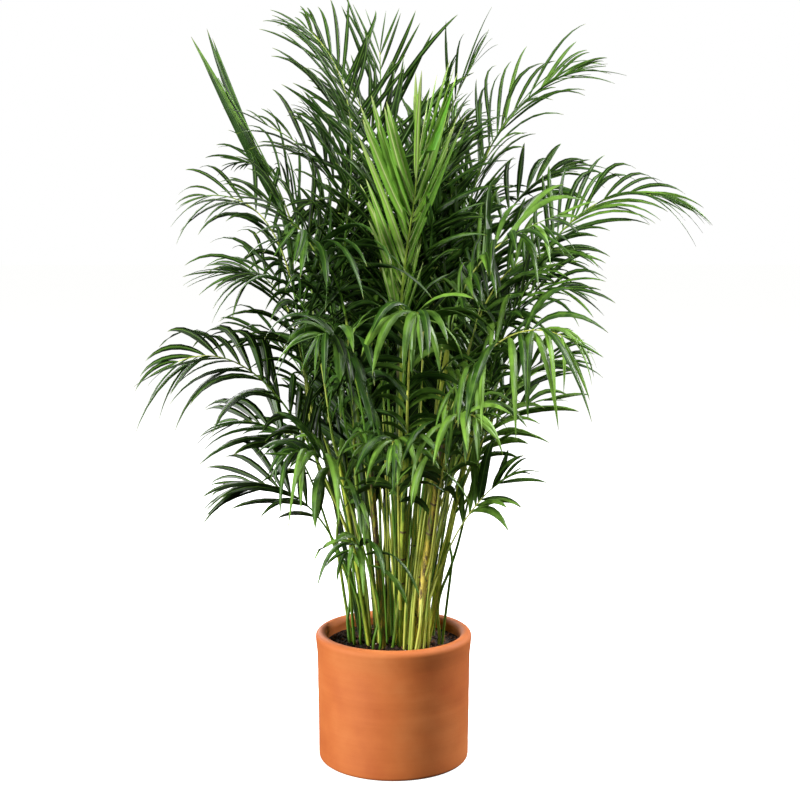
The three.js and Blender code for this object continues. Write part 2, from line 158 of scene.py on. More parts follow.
class Shade:
    """A material that is put together node by node."""

    def __init__(self, name: str) -> None:
        """Starts a material with a Principled surface.

        Args:
            name: The material's name.
        """
        self.material = bpy.data.materials.new(name)
        self.material.use_nodes = True
        self.tree = self.material.node_tree
        self.surface = self.tree.nodes["Principled BSDF"]

    def feed(self, socket: Socket, value: object) -> None:
        """Links a socket to another one, or sets its constant value.

        Args:
            socket: The socket that is fed.
            value: The other socket or the constant.
        """
        if isinstance(value, Socket):
            self.tree.links.new(value, socket)
        else:
            socket.default_value = value

    def node(self, kind: str, output: str | int, inputs: dict[str | int, object] | None = None,
             **settings: object) -> Socket:
        """Adds a node.

        Args:
            kind: The node's type name.
            output: Which of its outputs is wanted.
            inputs: Sockets or constants for its inputs.
            **settings: Property values by name.

        Returns:
            The output.
        """
        made = self.tree.nodes.new(kind)
        for key, value in settings.items():
            setattr(made, key, value)
        for key, value in (inputs or {}).items():
            self.feed(made.inputs[key], value)
        return made.outputs[output]

    def where(self) -> Socket:
        """Object coordinates, in metres in the part's frame."""
        return self.node("ShaderNodeTexCoord", "Object")

    def reading(self, layer: Layer) -> Socket:
        """The number that the mesh carries in one of its attributes."""
        return self.node("ShaderNodeAttribute", "Fac", attribute_name=layer.value)

    def on_map(self, axis: str) -> Socket:
        """One coordinate of the piece's own map: X runs across the piece, Y along it."""
        place = self.node("ShaderNodeUVMap", "UV", uv_map=Layer.PLACE.value)
        return self.node("ShaderNodeSeparateXYZ", axis, {0: place})

    def noise(self, scale: float, detail: float = 2.0, roughness: float = 0.5,
              stretch: Triple = (1.0, 1.0, 1.0)) -> Socket:
        """A cloudy pattern round 0.5.

        Args:
            scale: How many clouds there are in a metre.
            detail: How many finer layers are added.
            roughness: How strong the finer layers are.
            stretch: By how much the scale is multiplied along each axis.

        Returns:
            The pattern's value.
        """
        place = self.node("ShaderNodeMapping", "Vector", {"Vector": self.where(), "Scale": Vector(stretch)})
        inputs = {"Vector": place, "Scale": scale, "Detail": detail, "Roughness": roughness}
        return self.node("ShaderNodeTexNoise", "Fac", inputs)

    def cells(self, scale: float) -> Socket:
        """The distance to the nearest of many scattered points."""
        return self.node("ShaderNodeTexVoronoi", "Distance", {"Vector": self.where(), "Scale": scale})

    def maths(self, operation: str, *values: Socket | float) -> Socket:
        """The result of one sum on some numbers."""
        return self.node("ShaderNodeMath", "Value", dict(enumerate(values)), operation=operation)

    def remap(self, value: Socket, low: float, high: float, to_low: float = 0.0,
              to_high: float = 1.0) -> Socket:
        """Moves a number smoothly from one range to another, and keeps it inside the second."""
        inputs = dict(enumerate((value, low, high, to_low, to_high)))
        return self.node("ShaderNodeMapRange", "Result", inputs, interpolation_type="SMOOTHSTEP")

    def between(self, first: Socket, second: Socket, share: float) -> Socket:
        """The number that lies a share of the way from one to another."""
        return self.maths("MULTIPLY_ADD", first, 1 - share, self.maths("MULTIPLY", second, share))

    def drifted(self, layer: Layer, pattern: Socket, low: float, high: float, swing: float) -> Socket:
        """An attribute that is raised and lowered by a pattern."""
        return self.maths("ADD", self.reading(layer), self.remap(pattern, low, high, -swing, swing))

    def ramp(self, value: Socket, *stops: tuple[float, Colour]) -> Socket:
        """A colour that changes with a number.

        Args:
            value: The number, from 0 to 1.
            *stops: Places in that range and their colours, in rising order.

        Returns:
            The colour.
        """
        made = self.node("ShaderNodeValToRGB", "Color", {"Fac": value})
        elements = made.node.color_ramp.elements
        while len(elements) < len(stops):
            elements.new(0.5)
        for element, (place, colour) in zip(elements, stops):
            element.position = place
            element.color = colour
        return made

    def coated(self, colour: Socket | Colour, *coats: tuple[Socket, Colour]) -> Socket:
        """A colour with others painted over it.

        Args:
            colour: The first colour.
            *coats: How much of each later colour covers it, and that colour.

        Returns:
            The colour.
        """
        for share, coat in coats:
            colour = self.node("ShaderNodeMix", 2, {0: share, 6: colour, 7: coat}, data_type="RGBA")
        return colour

    def finished(self, colour: Socket | Colour, roughness: Socket | float,
                 relief: Iterable[tuple[Socket, float]] = (), **others: object) -> Material:
        """Sets the surface's sockets.

        Args:
            colour: The base colour.
            roughness: The roughness.
            relief: Patterns of heights from 0 to 1 and their depths in metres, the lowest first.
            **others: Values of other sockets, with underscores for the spaces in their names.

        Returns:
            The material.
        """
        inputs = {"Base Color": colour, "Roughness": roughness, **others}
        for height, depth in relief:
            bump = {"Strength": 1.0, "Distance": depth, "Height": height}
            if "Normal" in inputs:
                bump["Normal"] = inputs["Normal"]
            inputs["Normal"] = self.node("ShaderNodeBump", "Normal", bump)
        for key, value in inputs.items():
            self.feed(self.surface.inputs[key.replace("_", " ")], value)
        return self.material


@dataclass(frozen=True)
class Finish:
    """A finish whose material is built once and then shared."""

    name: str

    def dress(self, shade: Shade) -> Material:
        """Puts the material together."""
        raise NotImplementedError

    @property
    def material(self) -> Material:
        """The finish's material, built when it is first asked for."""
        return bpy.data.materials.get(self.name) or self.dress(Shade(self.name))


@dataclass(frozen=True)
class ClayFinish(Finish):
    """Unglazed orange clay with faint turning bands, grain and pores."""

    pale: Colour = paint(216, 130, 68)
    body: Colour = paint(203, 111, 50)
    burnt: Colour = paint(186, 92, 38)
    bands_per_metre: float = 1 / 0.009
    band_share: float = 0.16
    pore_scale: float = 150.0

    def dress(self, shade: Shade) -> Material:
        """Puts the material together.

        Args:
            shade: The material, which has only its bare surface yet.

        Returns:
            The material.
        """
        clouds = shade.noise(9.0, 4.0, 0.55)
        bands = shade.noise(1.0, 3.0, 0.6, (2.0, 2.0, self.bands_per_metre))
        pores = shade.remap(shade.cells(self.pore_scale), 0.0, 0.16)
        tone = shade.between(clouds, bands, self.band_share)
        colour = shade.coated(shade.ramp(tone, (0.25, self.burnt), (0.52, self.body), (0.8, self.pale)),
                              (shade.remap(pores, 0.0, 1.0, 0.35, 0.0), self.burnt))
        grain = shade.maths("MULTIPLY", shade.noise(420.0), pores)
        roughness = shade.remap(clouds, 0.3, 0.7, 0.62, 0.78)
        return shade.finished(colour, roughness, ((bands, 0.0002), (grain, 0.00018)))


@dataclass(frozen=True)
class SoilFinish(Finish):
    """Moist, dark potting compost with pale fibres."""

    dark: Colour = paint(22, 13, 8)
    body: Colour = paint(50, 31, 20)
    fibre: Colour = paint(112, 70, 42)

    def dress(self, shade: Shade) -> Material:
        """Puts the material together.

        Args:
            shade: The material, which has only its bare surface yet.

        Returns:
            The material.
        """
        lumps = shade.noise(150.0, 5.0, 0.7)
        flecks = shade.noise(620.0, stretch=(1.0, 1.6, 1.0))
        colour = shade.coated(shade.ramp(lumps, (0.36, self.dark), (0.56, self.body), (0.8, self.fibre)),
                              (shade.remap(flecks, 0.6, 0.74, 0.0, 0.7), self.fibre))
        return shade.finished(colour, 0.88, ((lumps, 0.002), (flecks, 0.0006)))


@dataclass(frozen=True)
class CrumbFinish(Finish):
    """The bits that lie on the soil: bark, clods or white perlite."""

    dark: Colour
    pale: Colour
    roughness: float = 0.9

    def dress(self, shade: Shade) -> Material:
        """Puts the material together.

        Args:
            shade: The material, which has only its bare surface yet.

        Returns:
            The material.
        """
        grain = shade.noise(380.0, 4.0, 0.6, (1.0, 1.0, 2.4))
        tone = shade.between(grain, shade.reading(Layer.TONE), 0.5)
        colour = shade.ramp(tone, (0.22, self.dark), (0.72, self.pale))
        return shade.finished(colour, self.roughness, [(grain, 0.0006)])


@dataclass(frozen=True)
class CaneFinish(Finish):
    """A smooth cane with a dry scar at each joint, under papery sheaths."""

    low: Colour
    middle: Colour
    high: Colour
    streak: Colour
    scurf: Colour
    scurf_share: float
    scurf_from: float = 0.56
    scar: Colour = paint(84, 68, 46)

    def dress(self, shade: Shade) -> Material:
        """Puts the material together.

        Args:
            shade: The material, which has only its bare surface yet.

        Returns:
            The material.
        """
        scar = shade.reading(Layer.TONE)
        fibres = shade.noise(500.0, 3.0, 0.6, (1.0, 1.0, 0.05))
        patches = shade.noise(48.0, 4.0, 0.65, (1.0, 1.0, 0.16))
        scurf = shade.noise(62.0, 5.0, 0.7, (1.0, 1.0, 0.3))
        age = shade.drifted(Layer.AGE, patches, 0.4, 0.6, 0.22)
        colour = shade.coated(
            shade.ramp(age, (0.1, self.low), (0.5, self.middle), (0.9, self.high)),
            (shade.remap(fibres, 0.45, 0.6, 0.0, 0.45), self.streak),
            (shade.remap(scurf, self.scurf_from, self.scurf_from + 0.04, 0.0, self.scurf_share), self.scurf),
            (shade.remap(scar, 0.2, 0.8), self.scar),
        )
        roughness = shade.remap(scar, 0.1, 0.9, 0.42, 0.85)
        return shade.finished(colour, roughness, ((fibres, 0.0002), (patches, 0.0006)))


@dataclass(frozen=True)
class StalkFinish(Finish):
    """The stalk and midrib of a frond: green to yellow, smooth and a little waxy."""

    green: Colour
    yellow: Colour
    dry: Colour = paint(120, 96, 52)

    def dress(self, shade: Shade) -> Material:
        """Puts the material together.

        Args:
            shade: The material, which has only its bare surface yet.

        Returns:
            The material.
        """
        fibres = shade.noise(700.0, 3.0, 0.6, (1.0, 1.0, 0.08))
        patches = shade.noise(45.0, 3.0, 0.6, (1.0, 1.0, 0.25))
        drift = shade.drifted(Layer.TONE, patches, 0.3, 0.7, 0.22)
        colour = shade.coated(self.green, (shade.remap(drift, 0.1, 0.9), self.yellow),
                              (shade.remap(fibres, 0.55, 0.75, 0.0, 0.3), self.dry))
        return shade.finished(colour, 0.4, [(fibres, 0.00015)])


@dataclass(frozen=True)
class LeafFinish(Finish):
    """A leaflet: fine veins along it, a pale midrib, a duller underside and painted shade towards its edges,
    which stands in for the shading of its fold.
    """

    deep: Colour
    body: Colour
    bright: Colour
    vein: Colour
    under: Colour
    tip: Colour = paint(128, 132, 58)
    roughness: float = 0.4
    vein_pitch: float = 0.0028
    vein_share: float = 0.16
    midrib_width: float = 0.001
    midrib_share: float = 0.6
    edge_share: float = 0.2
    under_share: float = 0.55

    def dress(self, shade: Shade) -> Material:
        """Puts the material together.

        Args:
            shade: The material, which has only its bare surface yet.

        Returns:
            The material.
        """
        across = shade.on_map("X")
        away = shade.maths("ABSOLUTE", across)
        under = shade.reading(Layer.UNDER)
        mottle = shade.noise(38.0, 3.0, 0.6)
        drift = shade.drifted(Layer.TONE, mottle, 0.3, 0.7, 0.12)
        wave = shade.maths("SINE", shade.maths("MULTIPLY", across, FULL_TURN / self.vein_pitch))
        ridge = shade.maths("MULTIPLY_ADD", wave, 0.5, 0.5)
        colour = shade.coated(
            shade.ramp(drift, (0.05, self.deep), (0.45, self.body), (0.95, self.bright)),
            (shade.maths("MULTIPLY", ridge, self.vein_share), self.vein),
            # Painted shade: the leaflet's edges are darkened towards the deep green, standing in for the
            # shading of its fold.
            (shade.remap(away, 0.0015, 0.007, 0.0, self.edge_share), self.deep),
            (shade.remap(away, 0.0003, self.midrib_width, self.midrib_share, 0.0), self.vein),
            (shade.maths("MULTIPLY", under, self.under_share), self.under),
            (shade.remap(shade.on_map("Y"), 0.93, 1.0, 0.0, 0.7), self.tip),
        )
        sheen = shade.remap(mottle, 0.3, 0.7, self.roughness - 0.05, self.roughness + 0.06)
        roughness = shade.maths("MULTIPLY_ADD", under, 0.2, sheen)
        return shade.finished(colour, roughness, [(ridge, 0.0001)], Specular_IOR_Level=0.3)


CLAY = ClayFinish("fired_clay")
COMPOST = SoilFinish("compost")
BARK = CrumbFinish("bark_bits", paint(40, 22, 13), paint(128, 78, 44))
CLODS = CrumbFinish("soil_clods", paint(20, 12, 8), paint(62, 38, 25))
PERLITE = CrumbFinish("perlite", paint(196, 190, 178), paint(244, 242, 236), 0.8)
GREEN_CANE = CaneFinish("green_cane", paint(24, 46, 9), paint(98, 132, 32), paint(194, 208, 72),
                        paint(36, 58, 13), paint(150, 134, 84), 0.3)
RIPE_CANE = CaneFinish("yellow_cane", paint(74, 104, 26), paint(226, 204, 84), paint(248, 234, 128),
                       paint(196, 160, 54), paint(84, 64, 50), 0.9, 0.5)
STALK = StalkFinish("frond_stalk", paint(84, 128, 34), paint(206, 212, 94))
YOUNG_STALK = StalkFinish("young_stalk", paint(150, 178, 66), paint(214, 212, 120))
LEAF = LeafFinish("palm_leaf", paint(7, 23, 4), paint(33, 68, 13), paint(126, 170, 62),
                  paint(98, 138, 46), paint(46, 82, 20))
# The young leaflets carry strong painted shade at their edges.
YOUNG_LEAF = LeafFinish("young_palm_leaf", paint(78, 142, 26), paint(166, 220, 70), paint(208, 242, 116),
                        paint(248, 250, 184), paint(118, 166, 54), tip=paint(190, 200, 110),
                        midrib_width=0.002, midrib_share=1.0, edge_share=0.85)


# ---- Mesh helpers


def new_piece(name: str, mesh: Mesh, materials: Iterable[Material]) -> Piece:
    """Turns a bmesh into a piece at the origin.

    Args:
        name: The piece's name.
        mesh: The bmesh, which is freed.
        materials: Its materials, in the order of the faces' indices.

    Returns:
        The piece.
    """
    data = bpy.data.meshes.new(name)
    mesh.to_mesh(data)
    mesh.free()
    for material in materials:
        data.materials.append(material)
    made = bpy.data.objects.new(name, data)
    bpy.context.scene.collection.objects.link(made)
    return made


def settle(name: str, mesh: Mesh, finishes: Iterable[Finish], slot: str, *nodes: str) -> None:
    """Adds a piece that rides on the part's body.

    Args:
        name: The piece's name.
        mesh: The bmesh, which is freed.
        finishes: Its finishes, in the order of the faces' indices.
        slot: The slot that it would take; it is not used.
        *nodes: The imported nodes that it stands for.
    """
    made = new_piece(name, mesh, [finish.material for finish in finishes])
    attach(made, BODY)
    if nodes:
        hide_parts(*nodes)
    log.info("%s: %d faces", made.name, len(made.data.polygons))


def rounded(mesh: Mesh, index: int = 0) -> None:
    """Turns a bmesh's faces outward and shades them smoothly.

    Args:
        mesh: The bmesh.
        index: The material index of its faces.
    """
    bmesh.ops.recalc_face_normals(mesh, faces=mesh.faces)
    for face in mesh.faces:
        face.smooth = True
        face.material_index = index


def packed(node: Piece) -> Mesh:
    """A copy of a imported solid's mesh with its loose triangles joined.

    Args:
        node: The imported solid.

    Returns:
        The bmesh.
    """
    mesh = bmesh.new()
    mesh.from_mesh(node.data)
    bmesh.ops.remove_doubles(mesh, verts=mesh.verts, dist=MERGE)
    return mesh


def mean(points: Sequence[Vector]) -> Vector:
    """The middle of some points."""
    return sum(points, Vector()) / len(points)


def attribute(mesh: Mesh, layer: Layer) -> bmesh.types.BMLayerItem:
    """A number that every vertex carries, made if it isn't there yet."""
    layers = mesh.verts.layers.float
    return layers.get(layer.value) or layers.new(layer.value)


def layered_mesh() -> Mesh:
    """An empty bmesh with all the layers that the finishes read.

    Returns:
        The bmesh.
    """
    mesh = bmesh.new()
    for layer in (Layer.TONE, Layer.UNDER, Layer.AGE):
        attribute(mesh, layer)
    mesh.loops.layers.uv.new(Layer.PLACE.value)
    return mesh


def lay_map(mesh: Mesh, spots: dict[Vertex, Pair]) -> None:
    """Lays the piece's own map: one place on it for each vertex.

    Args:
        mesh: The bmesh.
        spots: Each vertex's place on the map.
    """
    uv = mesh.loops.layers.uv[Layer.PLACE.value]
    for loop in (loop for face in mesh.faces for loop in face.loops):
        loop[uv].uv = spots[loop.vert]


def arc(centre: Pair, radius: float, start: float, sweep: float, steps: int) -> list[Pair]:
    """Points on a round corner of a profile, with its angles in degrees."""
    turns = [math.radians(start + sweep * step / steps) for step in range(steps + 1)]
    return [(centre[0] + radius * math.cos(turn), centre[1] + radius * math.sin(turn)) for turn in turns]


def spun(profile: Iterable[Pair], turns: int) -> Mesh:
    """Spins a profile about the upright axis.

    Args:
        profile: Radii and heights, from the axis back to the axis.
        turns: How many steps the spin has.

    Returns:
        The bmesh, whose faces may still point inward.
    """
    mesh = bmesh.new()
    verts = [mesh.verts.new((radius, 0.0, height)) for radius, height in profile]
    edges = [mesh.edges.new(pair) for pair in zip(verts, verts[1:])]
    bmesh.ops.spin(mesh, geom=verts + edges, cent=(0, 0, 0), axis=(0, 0, 1), angle=FULL_TURN, steps=turns,
                   use_merge=True)
    bmesh.ops.remove_doubles(mesh, verts=mesh.verts, dist=MERGE)
    return mesh


def join(mesh: Mesh, part: Mesh) -> None:
    """Adds one bmesh to another and frees it.

    Args:
        mesh: The bmesh that grows.
        part: The one that is added.
    """
    data = bpy.data.meshes.new("part")
    part.to_mesh(data)
    part.free()
    mesh.from_mesh(data)
    bpy.data.meshes.remove(data)


def tube(mesh: Mesh, sides: int, stations: Sequence[float], surface: Surface, index: int = 0) -> None:
    """Adds a closed tube to a bmesh: a grid that is wrapped round a line and capped.

    Args:
        mesh: The bmesh.
        sides: How many sides the tube has.
        stations: The places along it, from 0 to 1.
        surface: Gives the point, its tone and its age for an angle and a place along the tube.
        index: The material index of its faces.
    """
    part = layered_mesh()
    rungs = len(stations) - 1
    bmesh.ops.create_grid(part, x_segments=sides, y_segments=rungs, size=0.5)
    tones = attribute(part, Layer.TONE)
    ages = attribute(part, Layer.AGE)
    spots = {}
    for vertex in part.verts:
        spots[vertex] = ((vertex.co.x + 0.5) * FULL_TURN, stations[round((vertex.co.y + 0.5) * rungs)])
        vertex.co, vertex[tones], vertex[ages] = surface(*spots[vertex])
    lay_map(part, spots)
    bmesh.ops.remove_doubles(part, verts=part.verts, dist=MERGE)
    bmesh.ops.holes_fill(part, edges=[edge for edge in part.edges if edge.is_boundary], sides=0)
    rounded(part, index)
    join(mesh, part)


@dataclass
class Line:
    """A smooth line through the middle of a cane or a midrib, asked for by the share of its length."""

    points: np.ndarray
    steps: int = 240
    length: float = field(init=False)
    spots: list[Vector] = field(init=False)
    headings: list[Vector] = field(init=False)

    def __post_init__(self) -> None:
        """Spaces the points evenly along the line."""
        gaps = np.linalg.norm(np.diff(self.points, axis=0), axis=1)
        reach = np.concatenate([[0.0], np.cumsum(gaps)])
        self.length = float(reach[-1])
        even = np.linspace(0.0, self.length, self.steps + 1)
        self.points = np.column_stack([np.interp(even, reach, self.points[:, axis]) for axis in range(3)])
        self.spots = [Vector(point) for point in self.points]
        last = self.steps
        self.headings = [(self.spots[min(step + 2, last)] - self.spots[max(step - 2, 0)]).normalized()
                         for step in range(last + 1)]

    @staticmethod
    def arched(*control: Vector) -> Line:
        """A line that runs from the first point to the last and is steered by the others."""
        weights = pulls(np.linspace(0.0, 1.0, 40), len(control) - 1)
        return Line(np.column_stack(weights) @ np.array([list(point) for point in control]), steps=60)

    def along(self, row: list[Vector], share: float) -> Vector:
        """A value between two entries of a row that runs along the line.

        Args:
            row: The row.
            share: The share of the length.

        Returns:
            The value.
        """
        place = clamp(share) * self.steps
        step = min(int(place), self.steps - 1)
        return row[step].lerp(row[step + 1], place - step)

    def at(self, share: float) -> Vector:
        """The point a share of the way along the line."""
        return self.along(self.spots, share)

    def heading(self, share: float) -> Vector:
        """The direction of the line at a share of its length."""
        return self.along(self.headings, share).normalized()

    def nearest(self, point: Vector) -> float:
        """The share of the length at which the line is closest to a point."""
        gaps = np.linalg.norm(self.points - np.array(point), axis=1)
        return int(gaps.argmin()) / self.steps

    def closest(self, point: Vector) -> Vector:
        """The point of the line that is closest to another point."""
        return self.at(self.nearest(point))

    def beside(self, turn: float, share: float, radius: float) -> Vector:
        """A point beside the line.

        Args:
            turn: Its angle round the line.
            share: The share of the line's length.
            radius: Its distance from the line.

        Returns:
            The point.
        """
        heading = self.heading(share)
        across = BACK.cross(heading).normalized()
        return self.at(share) + (across * math.cos(turn) + heading.cross(across) * math.sin(turn)) * radius


# ---- The pot and what fills it


@dataclass
class Pot:
    """The clay pot: a nearly straight wall, a rolled rim and a closed floor, turned in one profile."""

    base_radius: float = 0.1345
    neck_radius: float = 0.137
    rim_radius: float = 0.140
    height: float = 0.232
    roll: float = 0.020
    wall: float = 0.015
    floor: float = 0.016
    foot_round: float = 0.006
    flare: float = 0.0016
    waviness: float = 0.00018
    wall_rings: int = 26
    turns: int = 128

    def profile(self) -> list[Pair]:
        """Half a cut through the pot, from the middle of its underside to the middle of its floor.

        Returns:
            Radii and heights.
        """
        half = self.roll / 2
        neck = self.height - 1.2 * self.roll
        inside = self.neck_radius - self.wall
        points = [(0.0, 0.0), (self.base_radius - 2 * self.foot_round, 0.0)]
        points += arc((self.base_radius - self.foot_round, self.foot_round), self.foot_round, -90, 90, 6)
        for step in range(1, self.wall_rings + 1):
            share = step / self.wall_rings
            wave = self.waviness * math.sin(31.0 * share) * math.sin(math.pi * share)
            flare = self.flare * max(0.0, 8 * share - 7) ** 2
            points.append((blend(self.base_radius, self.neck_radius, share) + wave + flare,
                           blend(self.foot_round, neck, share)))
        points += arc((self.rim_radius - half, self.height - half), half, -16, 226, 14)
        points += [(inside, neck - 0.004), (inside - 0.004, self.floor), (0.0, self.floor)]
        return points

    def build(self) -> None:
        """Spins the profile about the upright axis."""
        mesh = spun(self.profile(), self.turns)
        rounded(mesh)
        settle("clay_pot", mesh, [CLAY], "clay", "pot")


@dataclass
class Soil:
    """The compost in the pot, with clods, bark and perlite lying on it."""

    radius: float = 0.1212
    foot_radius: float = 0.1175
    foot: float = 0.0168
    level: float = 0.210
    roughness: float = 0.0008
    rings: int = 46
    turns: int = 132
    clods: int = 900
    bark: int = 420
    perlite: int = 26

    def height(self, x: float, y: float) -> float:
        """How high the soil lies at a point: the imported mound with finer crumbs.

        Args:
            x: To the right of the pot's axis.
            y: Behind the pot's axis.

        Returns:
            The height over the pot's underside.
        """
        wide, deep = x * 1000, y * 1000
        share = clamp(math.hypot(wide, deep) / 134.5)
        lumps = math.sin(wide * 0.09 + 1) * math.cos(deep * 0.11) + 0.6 * math.sin(wide * 0.21 - deep * 0.17)
        crumbs = math.sin(wide * 0.83 + 2.1 * math.sin(deep * 0.47)) * math.cos(deep * 0.91 + wide * 0.29)
        fine = math.sin(wide * 2.3 + deep * 0.7) * math.sin(deep * 2.1 - wide * 0.9)
        rise = 5 * (1 - 2 * share ** 2) + 3.5 * lumps * (1 - share) + 0.8 * crumbs + 0.5 * fine
        return self.level + rise / 1000

    def bed(self) -> None:
        """Spins a profile and lifts its top into lumps."""
        profile = [(0.0, self.foot), (self.foot_radius, self.foot), (self.radius, self.level - 0.002)]
        profile += [(self.radius * (1 - step / self.rings), self.level) for step in range(self.rings + 1)]
        mesh = spun(profile, self.turns)
        dice = random.Random(SEED)
        for vertex in mesh.verts:
            if vertex.co.z > self.level - 0.001:
                rough = dice.uniform(-self.roughness, self.roughness)
                vertex.co.z = self.height(vertex.co.x, vertex.co.y) + rough
        rounded(mesh)
        settle("soil_bed", mesh, [COMPOST], "soil", "soil")

    def scatter(self, name: str, finish: CrumbFinish, count: int, size: Pair, stretch: float) -> None:
        """Strews bits on the soil.

        Args:
            name: The piece's name.
            finish: What the bits are.
            count: How many there are.
            size: The smallest and largest radius.
            stretch: How much longer than wide a bit may be.
        """
        mesh = bmesh.new()
        tones = attribute(mesh, Layer.TONE)
        dice = dice_for(name)
        for _ in range(count):
            away = (self.radius - size[1]) * math.sqrt(dice.random())
            spot = level_spot(dice.uniform(0, FULL_TURN), away)
            radius = blend(*size, dice.random() ** 2)
            spot.z = self.height(spot.x, spot.y) + radius * dice.uniform(0.0, 0.45)
            sizes = [dice.uniform(*ends) for ends in ((1.0, stretch), (0.7, 1.0), (0.5, 0.9))]
            axis = Vector([dice.gauss(0, 1) for _ in range(3)]).normalized()
            spin = Quaternion(axis, dice.uniform(0, math.pi)).to_matrix().to_4x4()
            place = Matrix.Translation(spot) @ spin @ Matrix.Diagonal((*sizes, 1.0))
            bit = bmesh.ops.create_icosphere(mesh, subdivisions=1, radius=radius, matrix=place)
            tone = dice.random()
            for vertex in bit["verts"]:
                vertex[tones] = tone
                vertex.co += (vertex.co - spot) * dice.uniform(-0.25, 0.3)
        settle(name, mesh, [finish], "soil")

    def build(self) -> None:
        """Builds the bed and strews it."""
        self.bed()
        self.scatter("soil_clods", CLODS, self.clods, (0.0012, 0.0042), 1.5)
        self.scatter("bark_bits", BARK, self.bark, (0.0009, 0.0032), 3.2)
        self.scatter("perlite_bits", PERLITE, self.perlite, (0.0011, 0.0026), 1.2)


# ---- The canes


@dataclass
class Cane:
    """A cane: a tapering, lobed stem with a scar at each joint, and the sheaths of its stalks."""

    name: str
    line: Line
    radii: Pair
    ripe: bool
    age: float
    sheaths: list[float] = field(default_factory=list)
    sides: int = 24
    shoulder: float = 0.05
    ring_gap: float = 0.02
    first_joint: float = 0.052
    last_joint: float = 0.94
    joint_pitch: float = 0.034
    joint_growth: float = 1.1
    scar_width: float = 0.0022
    scar_height: float = 0.0005
    scar_steps: tuple[float, ...] = (-1.6, -0.7, 0.0, 0.7, 1.6)
    sheath_length: float = 0.13
    sheath_wall: float = 0.0007
    lobes: int = 4
    lobe_depth: float = 0.34

    @staticmethod
    def read(name: str, node: Piece, ripe: bool, age: float) -> Cane:
        """Reads a packed cane: the middles of its rings give its line and its taper.

        Args:
            name: The node's name.
            node: The node.
            ripe: Whether the cane is a yellow one.
            age: How ripe it is among its kind, from 0 to 1.

        Returns:
            The cane.
        """
        mesh = packed(node)
        points = sorted((vertex.co.copy() for vertex in mesh.verts), key=lambda point: point.z)
        mesh.free()
        rings = [[points[0]]]
        for point in points[1:]:
            if point.z - rings[-1][-1].z > Cane.ring_gap:
                rings.append([])
            rings[-1].append(point)
        middles = [mean(ring) for ring in rings]
        heights = [middle.z for middle in middles]
        levels = np.linspace(heights[0], heights[-1], 90)
        fits = [np.polyfit(heights, [middle[axis] for middle in middles], 2) for axis in range(2)]
        line = Line(np.column_stack([*(np.polyval(fit, levels) for fit in fits), levels]))
        ends = tuple(max((point - middles[end]).length for point in rings[end]) for end in (0, -1))
        return Cane(name, line, ends, ripe, age)

    @cached_property
    def joints(self) -> list[float]:
        """How far up the stem its scars are: closer together near the foot."""
        reaches = []
        reach = self.first_joint
        pitch = self.joint_pitch
        while reach < self.line.length * self.last_joint:
            reaches.append(reach)
            reach += pitch
            pitch *= self.joint_growth
        return reaches

    def swelling(self, reach: float) -> Pair:
        """How far the surface stands over the bare stem, and how much of a scar it is there.

        Args:
            reach: How far up the stem.

        Returns:
            The height over the stem, and the scar's strength from 0 to 1.
        """
        rise = 0.0
        for top in self.sheaths:
            below = top * self.line.length - reach
            if 0.0 <= below <= self.sheath_length:
                rise = max(rise, self.sheath_wall * clamp(4 * (1 - below / self.sheath_length)))
        gaps = [(reach - joint) / self.scar_width for joint in self.joints]
        scar = max((math.exp(-gap * gap) for gap in gaps), default=0.0) if rise == 0.0 else 0.0
        return rise + self.scar_height * scar, scar

    def ripeness(self, turn: float, share: float) -> float:
        """How ripe the cane is at a point: each of its lobes has its own shade.

        Args:
            turn: The angle round the stem.
            share: The share of its length.

        Returns:
            The ripeness, from 0 to 1.
        """
        lobe = math.floor(self.lobes * (turn + 9 * self.age) / FULL_TURN) % self.lobes
        shift = dice_for(self.name, lobe).uniform(-0.35, 0.35)
        if self.ripe:
            shift = 0.4 * shift - 0.7 * rise(share, 0.3, 0.35)
        return clamp(self.age + shift)

    def surface(self, turn: float, share: float) -> tuple[Vector, float, float]:
        """A point of the surface.

        Args:
            turn: Its angle round the stem.
            share: The share of the stem's length.

        Returns:
            The point, how much of a scar it is and how ripe it is.
        """
        rise, scar = self.swelling(share * self.line.length)
        left = clamp((1 - share) * self.line.length / self.shoulder)
        groove = abs(math.sin(self.lobes * 0.5 * (turn + 9 * self.age)))
        radius = blend(*self.radii, share) * blend(0.6, 0.98, math.sqrt(left)) + rise
        radius *= 1 - self.lobe_depth * (1 - groove) ** 2
        return self.line.beside(turn, share, radius), scar, self.ripeness(turn, share)

    def build(self) -> None:
        """Builds the stem."""
        length = self.line.length
        stations = {step / 60 for step in range(61)} | {1 - step * self.shoulder / 8 for step in range(8)}
        for joint in self.joints:
            stations |= {(joint + step * self.scar_width) / length for step in self.scar_steps}
        for top in self.sheaths:
            stations |= {top + offset / length for offset in (-0.0006, 0.0006, -self.sheath_length)}
        mesh = layered_mesh()
        tube(mesh, self.sides, sorted(share for share in stations if 0.0 <= share <= 1.0), self.surface)
        finish, slot = (RIPE_CANE, "ripe_cane") if self.ripe else (GREEN_CANE, "cane")
        settle(f"{self.name}_stem", mesh, [finish], slot, self.name)


# ---- The fronds


